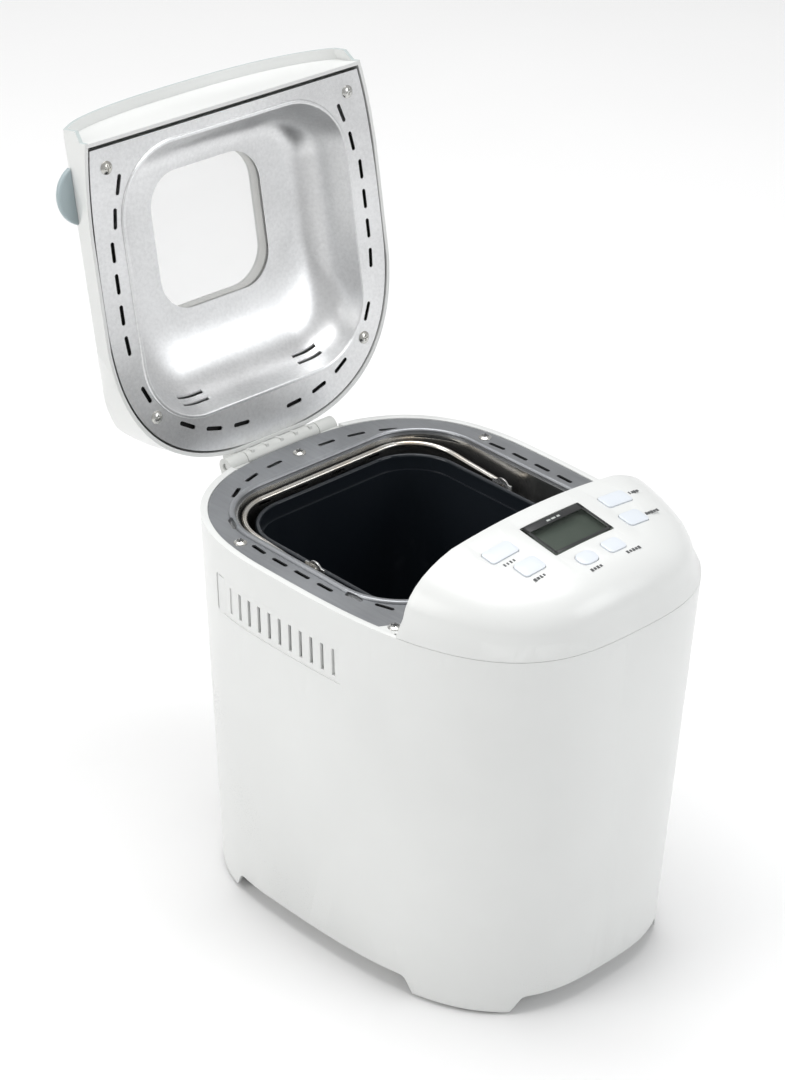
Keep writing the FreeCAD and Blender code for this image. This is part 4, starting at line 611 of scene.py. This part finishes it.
def settle(thing: bpy.types.Object, body: str, slot: str, *nodes: str) -> bpy.types.Object:
    """Rides a piece on its body, names its slot and the nodes it stands for."""
    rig.ride(thing, body)
    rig.slot(thing, slot)
    if nodes:
        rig.replaces(thing, *nodes)
    LOG.info("%s rides on %s, %d faces", thing.name, body, len(thing.data.polygons))
    return thing


# ---------------------------------------------------------------- finishes shared by the sub-assemblies
class Finishes:
    """Every finish of the machine, made once, by the name of its slot."""

    def __init__(self) -> None:
        """Builds all the materials."""
        white = (0.735, 0.745, 0.735)
        recipes: dict[str, Any] = {
            "white_plastic": MouldedPlastic(white, 0.30, 0.25),
            "hinge_plastic": MouldedPlastic((0.62, 0.63, 0.61), 0.45, 0.05),
            "key_plastic": MouldedPlastic((0.70, 0.74, 0.79), 0.30, 0.3, 8.0e-6),
            # painted shade: white plastic darkened to grey-teal, the way the lid grips look where they face away from
            # the lamps
            "grey_plastic": MouldedPlastic((0.36, 0.43, 0.45), 0.36, 0.15),
            "dark_plastic": MouldedPlastic((0.03, 0.03, 0.033), 0.45, 0.05),
            "deck_metal": SatinMetal((0.33, 0.34, 0.355), 0.38, 0.10, (1.0, 0.08, 1.0)),
            "liner_metal": SatinMetal((0.83, 0.835, 0.84), 0.33, 0.10),
            "chamber_metal": SatinMetal((0.40, 0.40, 0.395), 0.22, 0.05, (1.0, 1.0, 0.1)),
            "shield_metal": SatinMetal((0.50, 0.51, 0.52), 0.42, 0.10),
            "cast_metal": SatinMetal((0.48, 0.48, 0.48), 0.5, 0.2, metallic=0.85),
            "steel": SatinMetal((0.56, 0.56, 0.55), 0.26, 0.04),
            "element_metal": SatinMetal((0.16, 0.15, 0.14), 0.5, 0.1, metallic=0.7),
            "motor_steel": SatinMetal((0.22, 0.23, 0.25), 0.45, 0.1, metallic=0.6),
            "bronze": SatinMetal((0.5, 0.36, 0.17), 0.4, 0.1),
            "wire_steel": BrightWire((0.62, 0.60, 0.56), 0.14),
            "screw_steel": BrightWire((0.60, 0.60, 0.58), 0.18, (0.52, 0.49, 0.42)),
            "nonstick": NonStick((0.012, 0.016, 0.022), (0.05, 0.06, 0.07)),
            "rubber": SoftRubber((0.03, 0.03, 0.03)),
            "belt_rubber": SoftRubber((0.02, 0.02, 0.02)),
            "silicone": SoftRubber((0.68, 0.68, 0.66)),
            "ceramic": MouldedPlastic((0.74, 0.70, 0.63), 0.6, 0.0, 4.0e-5, 700.0),
            "glass": ClearGlass((0.99, 0.99, 0.99)),
            "lens": ClearGlass((0.93, 0.95, 0.93), 0.95, (0.02, 0.02, 0.02)),
            "lcd": LiquidCrystal((0.075, 0.088, 0.078)),
            "board": CircuitLaminate((0.04, 0.16, 0.07)),
        }
        self.made = {slot: recipe.make(slot) for slot, recipe in recipes.items()}
        # dark ink: real print for the panel marks, and painted shade in the screws' cross recesses
        self.ink = MouldedPlastic((0.07, 0.072, 0.075), 0.5, 0.0, 5.0e-6).make("printed_ink")
        self.pale_ink = MouldedPlastic((0.45, 0.48, 0.46), 0.5, 0.0, 5.0e-6).make("pale_ink")
        self.black = MouldedPlastic((0.012, 0.013, 0.014), 0.3, 0.2, 5.0e-6).make("display_black")
        # a darker grey-green copy of the white plastic: painted shade for the lid lip's upward faces
        self.ice = MouldedPlastic((0.50, 0.555, 0.55), 0.36, 0.2).make("ice_grey_plastic")
        # near-black matt sheet: painted shade behind the deck's and the lid's slots
        self.shade = MouldedPlastic((0.006, 0.006, 0.006), 0.8, 0.0, 2.0e-5).make("gasket_black")

    def __getitem__(self, slot: str) -> bpy.types.Material:
        """The material of one slot."""
        return self.made[slot]


# ---------------------------------------------------------------- sub-assemblies
@dataclass
class Assembly:
    """What all sub-assemblies share: their finishes and a way to skin the frame's nodes."""

    finishes: Finishes
    slots: dict[str, str]
    bodies: dict[str, str]

    def skin(self, node: str, edge: Edge = Edge.SOFT, degrees: float = 32.0) -> bpy.types.Object:
        """Refines one node and dresses it in the finish of its slot."""
        slot = self.slots[node]
        made = refined_skin(node, node + "_skin", edge, degrees)
        dress(made, self.finishes[slot])
        return settle(made, self.bodies[node], slot, node)

    def skins(self, nodes: Iterable[str], edge: Edge = Edge.SOFT, degrees: float = 32.0) -> None:
        """Refines several nodes alike."""
        for node in nodes:
            self.skin(node, edge, degrees)


@dataclass
class Casing(Assembly):
    """The tapered body with its vents, feet and underside."""

    taper: float = math.radians(2.4)
    baffle_depth: float = 4.4 * MM
    baffle_sheet: float = 1.2 * MM
    baffle_drop: tuple[float, float] = (26.0 * MM, 55.0 * MM)
    baffle_half_length: float = 60 * MM
    baffle_behind_middle: float = 33.0 * MM

    def build(self) -> None:
        """Makes the shell, the vent backing and everything under it."""
        self.skin("outer_casing", Edge.SOFT, 30.0)
        self.skins(("base_plate", "rubber_feet", "cord_gland", "corner_blocks"), Edge.SOFT)
        self.skins(("base_screws",), Edge.FINE)
        self.vent_backing()

    def vent_backing(self) -> None:
        """White baffles behind the side vents, which follow the lean of the side walls."""
        low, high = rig.box("outer_casing")
        deck_low, deck_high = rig.box("deck_plate")
        widest = (deck_low.x + deck_high.x) / 2 + (high.x - low.x) / 2
        middle = (low.y + high.y) / 2 + self.baffle_behind_middle
        for sign, side in ((-1, "left"), (1, "right")):
            top, bottom = high.z - self.baffle_drop[0], high.z - self.baffle_drop[1]
            lean = (self.baffle_drop[0] + self.baffle_drop[1]) / 2 * math.tan(self.taper)
            x = sign * (widest - lean - self.baffle_depth)
            first = Vector((-self.baffle_sheet / 2, middle - self.baffle_half_length,
                            bottom - (top + bottom) / 2))
            last = Vector((self.baffle_sheet / 2, middle + self.baffle_half_length, top - (top + bottom) / 2))
            turn = Matrix.Translation((x, 0, (top + bottom) / 2)) @ Matrix.Rotation(sign * self.taper, 4, "Y")
            plate = bevelled_block("vent_baffle_" + side, first, last, 0.4 * MM, turn)
            dress(plate, self.finishes["white_plastic"])
            settle(plate, Body.BASE.value, "white_plastic")


@dataclass
class Deck(Assembly):
    """The metal deck, the baking chamber and what stands in it."""

    # insets and drop of the near-black sheet of painted shade under the deck's slots
    baffle_insets: tuple[float, float] = (9.0 * MM, 23.0 * MM)
    baffle_drop: float = 5.2 * MM
    baffle_sheet: float = 0.6 * MM
    front_margin: float = 2 * MM

    def build(self) -> None:
        """Makes the deck, its screws, the chamber and the heating parts."""
        self.skin("deck_plate", Edge.SHARP, 30.0)
        self.skins(("deck_screws",), Edge.FINE)
        self.skin("baking_chamber", Edge.SHARP, 30.0)
        self.skins(("heating_element", "temperature_probe", "element_terminals"), Edge.SHARP, 40.0)
        self.skins(("element_clips", "pan_clips", "heat_shield"), Edge.FINE)
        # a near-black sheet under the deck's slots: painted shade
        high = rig.box("deck_plate")[1]
        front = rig.box("deck_plate")[0].y + self.front_margin
        outer, inner = self.baffle_insets
        level = high.z - self.baffle_drop
        shade = outline_band("deck_slot_baffle", outer, inner, level, self.baffle_sheet, front)
        dress(shade, self.finishes.shade)
        settle(shade, Body.BASE.value, "dark_plastic")
        # painted shade in the deck screws' cross recesses
        crosses = cross_inserts("deck_screw_crosses", "deck_screws", Vector((0, 0, 1)), self.finishes.ink)
        settle(crosses, Body.BASE.value, "screw_steel")


@dataclass
class Pan(Assembly):
    """The lift-out pan with its bail and paddle."""

    def build(self) -> None:
        """Makes the pan, its fittings, the bail and the paddle."""
        self.skin("bread_pan", Edge.SHARP, 30.0)
        self.skins(("pan_base_ring", "pan_ears", "pan_coupler", "kneading_paddle"), Edge.SOFT)
        self.skins(("bail_handle", "pan_bush", "pan_shaft"), Edge.SHARP, 40.0)


@dataclass
class Drive(Assembly):
    """Motor, belt, pulleys and electronics inside the body."""

    def build(self) -> None:
        """Makes the drive train and the boards."""
        self.skins(("chassis", "motor_can", "drive_coupler", "drive_pulley", "motor_pulley"), Edge.SOFT)
        self.skins(("drive_shaft", "motor_shaft", "shaft_bushes", "chassis_pillars", "drive_belt",
                    "motor_screws", "pulley_nut"), Edge.FINE)
        self.skins(("power_board", "power_parts", "control_board", "key_switches", "lcd_module"), Edge.FINE)


@dataclass
class ControlHead(Assembly):
    """The domed head with its display, keys and printed marks."""

    slope: float = math.radians(9.2)
    crown: float = 550 * MM
    display_back: float = 29.5 * MM
    display_half: tuple[float, float] = (25.6 * MM, 15.6 * MM)

    def build(self) -> None:
        """Makes the dome, the display, the keys and the marks."""
        self.skin("control_head", Edge.SOFT, 34.0)
        for node in KEYS:
            self.skin(node, Edge.SOFT, 34.0)
        self.skin("display_lens", Edge.FINE)
        self.marks()
        self.display_marks()

    def panel(self) -> Matrix:
        """Placement of the panel's plane: its origin on the crown line at the head's rear wall."""
        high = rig.box("control_head")[1]
        return Matrix.Translation((0, high.y, high.z)) @ Matrix.Rotation(self.slope, 4, "X")

    def printed(self, name: str, spots: Sequence[tuple[float, float, float, float]], height: float,
                finish: bpy.types.Material, flat: bool = False) -> bpy.types.Object:
        """Thin printed bars on the panel.

        Args:
            name: The piece's name.
            spots: Each bar's place across and back on the panel, with its width and length.
            height: Height of the bars' top above the panel.
            finish: Their material.
            flat: Whether they lie in one plane, as on the flat display.

        Returns:
            The joined bars.
        """
        bars = []
        for k, (x, back, width, length) in enumerate(spots):
            drop = 0.0 if flat else self.crown - math.sqrt(self.crown ** 2 - x * x)
            low = Vector((x - width / 2, -back - length / 2, height - drop - 0.12 * MM))
            high = Vector((x + width / 2, -back + length / 2, height - drop))
            bars.append(bevelled_block(f"{name}_{k}", low, high, 0.05 * MM, self.panel()))
        whole = joined(name, bars)
        dress(whole, finish)
        return whole

    def marks(self) -> None:
        """Short bars in front of each key, in place of words."""
        spots = []
        for x, back, count, across, ahead in KEYS.values():
            for k in range(count):
                place = x + across + (k - (count - 1) / 2) * 2.6 * MM
                spots.append((place, back + ahead, 1.9 * MM, (2.6 - 0.5 * (k % 2)) * MM))
        whole = self.printed("panel_marks", spots, 0.06 * MM, self.finishes.ink)
        settle(whole, Body.BASE.value, "dark_plastic")

    def display_marks(self) -> None:
        """Dark segments on the display: a row of small bars above a larger row."""
        level, middle = 0.10 * MM, self.display_back
        half_x, half_y = self.display_half
        strip, side = 6.0 * MM, 2.2 * MM
        frame = [(0.0, middle - half_y + strip / 2, 2 * half_x, strip),
                 (0.0, middle + half_y - side / 2, 2 * half_x, side),
                 (-half_x + side / 2, middle, side, 2 * half_y),
                 (half_x - side / 2, middle, side, 2 * half_y)]
        border = self.printed("display_border", frame, level, self.finishes.black, True)
        settle(border, Body.BASE.value, "dark_plastic")
        word_gaps = (2, 7)
        spots = [((k - 5.0) * 4.4 * MM, middle - half_y + 3.2 * MM, (2.6 + (k * 7) % 3 * 0.5) * MM, 1.5 * MM)
                 for k in range(11) if k not in word_gaps]
        whole = self.printed("display_marks", spots, level + 0.05 * MM, self.finishes.pale_ink)
        settle(whole, Body.BASE.value, "lcd")


# each key's place across and behind the head's rear wall, its number of printed bars, and how far across
# and ahead of the key they lie
KEYS: dict[str, tuple[float, float, int, float, float]] = {
    "menu_button": (-52.0 * MM, 22.5 * MM, 4, -2.0 * MM, 10.5 * MM),
    "time_button": (-47.0 * MM, 43.5 * MM, 4, -2.0 * MM, 11.0 * MM),
    "loaf_button": (-12.0 * MM, 58.5 * MM, 4, -2.0 * MM, 10.5 * MM),
    "color_button": (12.0 * MM, 58.5 * MM, 5, 8.0 * MM, 10.0 * MM),
    "cycle_button": (47.0 * MM, 43.5 * MM, 5, 17.0 * MM, 0.5 * MM),
    "start_button": (52.0 * MM, 22.5 * MM, 4, 18.5 * MM, -1.0 * MM),
}


# roundness of the plan outline's rear and front halves, and its rear face behind the widest line
REAR_ROUNDNESS = 2.65
FRONT_ROUNDNESS = 3.0
REAR_REACH = 126.0 * MM


def outline_point(angle: float, inset: float, half_width: float, rear: float, front: float,
                  widest: float) -> Vector:
    """A point of the machine's rounded plan outline.

    Args:
        angle: Direction from the widest line's middle, from +X.
        inset: How far inside the outline.
        half_width: Half the outline's width.
        rear: Its rear.
        front: Its front.
        widest: Where it is widest.

    Returns:
        The point, at height 0.
    """
    across, along = math.cos(angle), math.sin(angle)
    reach, exponent = (rear - widest, REAR_ROUNDNESS) if along >= 0 else (widest - front, FRONT_ROUNDNESS)
    a, b = half_width - inset, reach - inset
    radius = (abs(across / a) ** exponent + abs(along / b) ** exponent) ** (-1 / exponent)
    return Vector((across * radius, widest + along * radius, 0))


def outline_band(name: str, outer: float, inner: float, low: float, thick: float, front_limit: float,
                 place: Matrix | None = None) -> bpy.types.Object:
    """A flat band that follows the casing's outline, for the near-black sheets of painted shade behind slots.

    Args:
        name: The piece's name.
        outer: Inset of its outer edge.
        inner: Inset of its inner edge.
        low: Height of its underside.
        thick: Its thickness.
        front_limit: Nothing lies in front of this.
        place: A placement for the finished band.

    Returns:
        The new piece.
    """
    casing_low, casing_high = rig.box("outer_casing")
    half = (casing_high.x - casing_low.x) / 2
    rear, front = casing_high.y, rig.box("control_head")[0].y
    widest = rear - REAR_REACH
    only_object_mode()
    bpy.ops.mesh.primitive_circle_add(vertices=128, radius=1.0, fill_type="NOTHING")
    band = bpy.context.object
    band.name = name
    band.data.name = name
    count = len(band.data.vertices)
    for k, vertex in enumerate(band.data.vertices):
        vertex.co = outline_point(2 * math.pi * k / count, outer, half, rear, front, widest)
    bpy.ops.object.mode_set(mode="EDIT")
    bpy.ops.mesh.select_all(action="SELECT")
    bpy.ops.mesh.extrude_region_move()
    bpy.ops.object.mode_set(mode="OBJECT")
    for k in range(count):
        angle = 2 * math.pi * k / count
        band.data.vertices[count + k].co = outline_point(angle, inner, half, rear, front, widest)
    for vertex in band.data.vertices:
        vertex.co.z = low
    bpy.ops.object.mode_set(mode="EDIT")
    bpy.ops.mesh.select_all(action="SELECT")
    bpy.ops.mesh.bisect(plane_co=(0, front_limit, 0), plane_no=(0, -1, 0), clear_outer=True)
    bpy.ops.mesh.select_all(action="SELECT")
    bpy.ops.mesh.normals_make_consistent(inside=False)
    bpy.ops.object.mode_set(mode="OBJECT")
    apply_modifier(band, "SOLIDIFY", thickness=thick, offset=0.0)
    if place is not None:
        band.data.transform(place)
    smooth(band)
    return band


def islands(thing: bpy.types.Object) -> list[tuple[Vector, Vector]]:
    """The lowest and highest corners of each loose piece of a mesh."""
    mesh = bmesh.new()
    mesh.from_mesh(thing.data)
    bmesh.ops.remove_doubles(mesh, verts=mesh.verts, dist=1.0e-5)
    seen: set[int] = set()
    boxes = []
    mesh.verts.ensure_lookup_table()
    for start in mesh.verts:
        if start.index in seen:
            continue
        stack, found = [start], []
        seen.add(start.index)
        while stack:
            vertex = stack.pop()
            found.append(vertex.co)
            for edge in vertex.link_edges:
                other = edge.other_vert(vertex)
                if other.index not in seen:
                    seen.add(other.index)
                    stack.append(other)
        boxes.append((Vector([min(c[a] for c in found) for a in range(3)]),
                      Vector([max(c[a] for c in found) for a in range(3)])))
    mesh.free()
    return boxes


def cross_inserts(name: str, node: str, normal: Vector, finish: bpy.types.Material) -> bpy.types.Object:
    """Dark crosses in the drive recesses of a node's screws: painted shade where the recesses lie.

    Args:
        name: The piece's name.
        node: The screws' node.
        normal: The way the heads face.
        finish: Their material.

    Returns:
        The joined crosses.
    """
    bars = []
    length, width, thick = 5.0 * MM, 1.1 * MM, 0.5 * MM
    smallest_screw, first_turn = 6 * MM, 0.7
    facing = normal.to_track_quat("Z", "Y").to_matrix().to_4x4()
    for k, (low, high) in enumerate(islands(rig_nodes()[node])):
        if (high - low).length < smallest_screw:
            continue
        centre = (low + high) / 2
        reach = max(abs((corner - centre).dot(normal)) for corner in corners(low, high))
        tip = centre + normal * (reach * HEAD_SHARE[node])
        for turn in (first_turn, first_turn + math.pi / 2):
            place = Matrix.Translation(tip) @ facing @ Matrix.Rotation(turn, 4, "Z")
            half = Vector((length / 2, width / 2, thick / 2))
            bars.append(bevelled_block(f"{name}_{k}_{turn:.1f}", -half, half, 0.15 * MM, place))
    whole = joined(name, bars)
    dress(whole, finish)
    return whole


def corners(low: Vector, high: Vector) -> list[Vector]:
    """The eight corners of a box."""
    return [Vector((x, y, z)) for x in (low.x, high.x) for y in (low.y, high.y) for z in (low.z, high.z)]


# how far along half its box each screw's cross lies
HEAD_SHARE = {"lid_screws": 0.62, "deck_screws": 0.97}


@dataclass
class Lid(Assembly):
    """The hinged lid: cover, liner, panes, screws, grips and knuckle."""

    open_angle: float = math.radians(100.6)
    plate_level: float = 285.0 * MM
    # how far up a lip face must point to take the painted shade
    trim_slope: float = 0.45
    front_before_hinge: float = 243.0 * MM
    # insets and placing of the near-black sheet of painted shade behind the liner's slots
    baffle_insets: tuple[float, float] = (6.0 * MM, 20.5 * MM)
    baffle_above_plate: float = 3.4 * MM
    baffle_sheet: float = 0.6 * MM
    baffle_front_margin: float = 12 * MM

    def build(self) -> None:
        """Makes the lid and its half of the hinge."""
        cover = self.skin("lid_cover", Edge.ROUND, 34.0)
        # painted shade on the lip's upward faces
        self.trim(cover)
        self.skin("lid_liner", Edge.SHARP, 28.0)
        self.skins(("window_glass", "inner_glass"), Edge.FINE)
        self.skins(("window_seal", "lid_grips", "lid_hinge_bracket"), Edge.SOFT)
        self.skins(("lid_screws",), Edge.FINE)
        # painted shade behind the liner's slots
        self.gaskets()
        # painted shade in the lid screws' cross recesses
        facing = self.opened().to_3x3() @ Vector((0, 0, -1))
        crosses = cross_inserts("lid_screw_crosses", "lid_screws", facing, self.finishes.ink)
        settle(crosses, Body.LID.value, "screw_steel")

    def opened(self) -> Matrix:
        """Placement that turns a point of the closed lid open about the hinge."""
        low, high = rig.box("hinge_pins")
        axis = Matrix.Translation((0, (low.y + high.y) / 2, (low.z + high.z) / 2))
        return axis @ Matrix.Rotation(-self.open_angle, 4, "X") @ axis.inverted()

    def trim(self, cover: bpy.types.Object) -> None:
        """Paints shade on the lid's front lip: its faces that point up above the liner take a darker grey-green
        plastic, painted shade on the white cover.
        """
        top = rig.box("lid_liner")[1].z
        cover.data.materials.append(self.finishes.ice)
        # faces above the liner that point up take the painted shade
        for face in cover.data.polygons:
            if face.center.z > top - 1 * MM and face.normal.z > self.trim_slope:
                face.material_index = 1

    def gaskets(self) -> None:
        """A near-black sheet behind the liner's slots: painted shade."""
        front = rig.box("hinge_pins")[0].y - self.front_before_hinge
        outer, inner = self.baffle_insets
        shade = outline_band("lid_slot_baffle", outer, inner, self.plate_level + self.baffle_above_plate,
                             self.baffle_sheet, front + self.baffle_front_margin, self.opened())
        dress(shade, self.finishes.shade)
        settle(shade, Body.LID.value, "dark_plastic")


@dataclass
class Hinge(Assembly):
    """The hinge's fixed base and its pins."""

    def build(self) -> None:
        """Makes the base and the pins."""
        self.skins(("hinge_base",), Edge.SOFT)
        self.skins(("hinge_pins",), Edge.FINE)


@dataclass
class Studio:
    """Camera, pale floor and soft lights."""

    focal_length: float = 97.3
    yaw: float = math.radians(-43.83)
    pitch: float = math.radians(29.46)
    roll: float = math.radians(1.16)
    from_hinge: tuple[float, float, float] = (-1.1845, -1.3493, 1.2174)
    world_strength: float = 0.52
    lights: list[tuple[str, tuple[float, float, float], float, float, Colour]] = field(default_factory=list)

    def build(self) -> None:
        """Makes the camera, the floor, the world and the lights."""
        self.camera()
        self.floor()
        self.world()
        target = Vector((0.0, 0.0, 0.2))
        for name, place, size, power, colour in self.lights:
            self.light(name, Vector(place), target, size, power, colour)

    def camera(self) -> None:
        """Places the camera relative to the hinge axis."""
        low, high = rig.box("hinge_pins")
        hinge_y = (low.y + high.y) / 2
        back = Vector((math.sin(self.yaw) * math.cos(self.pitch), -math.cos(self.yaw) * math.cos(self.pitch),
                       math.sin(self.pitch)))
        right = Vector((0, 0, 1)).cross(back).normalized()
        up = back.cross(right)
        c, s = math.cos(self.roll), math.sin(self.roll)
        across, above = c * right + s * up, c * up - s * right
        data = bpy.data.cameras.new("camera")
        data.lens = self.focal_length
        data.sensor_width = 36.0
        data.clip_end = 50.0
        camera = bpy.data.objects.new("camera", data)
        place = Vector((self.from_hinge[0], hinge_y + self.from_hinge[1], self.from_hinge[2]))
        rotation = Matrix((across, above, back)).transposed().to_4x4()
        camera.matrix_world = Matrix.Translation(place) @ rotation
        bpy.context.scene.collection.objects.link(camera)
        bpy.context.scene.camera = camera

    def floor(self) -> None:
        """A wide pale floor."""
        only_object_mode()
        bpy.ops.mesh.primitive_plane_add(size=14.0, location=(0, 0, 0))
        floor = bpy.context.object
        floor.name = "floor"
        s = Surface("pale_floor")
        cloud = s.noise(3.0, 2.0)
        s.set(base_color=s.mix((0.88, 0.88, 0.88), (0.91, 0.91, 0.91), cloud), roughness=0.6)
        s.shader.inputs["Specular IOR Level"].default_value = 0.15
        dress(floor, s.material)
        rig.stage(floor)

    def world(self) -> None:
        """Even white surroundings."""
        world = bpy.data.worlds.new("studio")
        world.use_nodes = True
        background = world.node_tree.nodes["Background"]
        background.inputs[0].default_value = (1.0, 1.0, 1.0, 1.0)
        background.inputs[1].default_value = self.world_strength
        bpy.context.scene.world = world
        bpy.context.scene.view_settings.view_transform = "Standard"

    def light(self, name: str, place: Vector, target: Vector, size: float, power: float,
              colour: Colour) -> None:
        """One square soft light that looks at the machine."""
        data = bpy.data.lights.new(name, "AREA")
        data.size = size
        data.energy = power
        data.color = colour
        lamp = bpy.data.objects.new(name, data)
        lamp.location = place
        lamp.rotation_mode = "QUATERNION"
        lamp.rotation_quaternion = (target - place).to_track_quat("-Z", "Y")
        bpy.context.scene.collection.objects.link(lamp)


def remove_starting_objects(keep: Callable[[bpy.types.Object], bool]) -> None:
    """Removes what a new file starts with, such as its cube and lamp."""
    for thing in list(bpy.data.objects):
        if not keep(thing):
            bpy.data.objects.remove(thing)


def main() -> None:
    """Builds the studio and every sub-assembly, then records the sizes before and after."""
    logging.basicConfig(level=logging.INFO, format="%(message)s")
    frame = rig.load()
    _NODES.update(frame["nodes"])
    frame_things = set(frame["nodes"].values()) | set(frame["bodies"].values())
    remove_starting_objects(lambda thing: thing in frame_things)
    cad_low, cad_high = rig.bounds()
    record = frame["record"]
    slots = {row["node"]: row["material_slot"] for row in record["subparts"]}
    bodies = {node: body for body, nodes in record["behaviour"]["bodies"].items() for node in nodes}
    shared = (Finishes(), slots, bodies)
    Studio(lights=[
        ("left_light", (-2.7, 0.9, 1.7), 1.7, 30.0, (1.0, 0.995, 0.98)),
        ("front_light", (1.3, -2.6, 1.6), 1.5, 22.0, (0.97, 0.985, 1.0)),
        ("top_light", (0.1, 0.4, 3.0), 2.4, 62.0, (1.0, 1.0, 1.0)),
    ]).build()
    for part in (Casing, Deck, Pan, Drive, ControlHead, Lid, Hinge):
        part(*shared).build()
    low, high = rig.bounds()
    with open("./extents.json", "w") as sizes:
        json.dump({"cad": [list(cad_low), list(cad_high)], "visual": [list(low), list(high)]}, sizes)


if __name__ == "__main__":
    main()
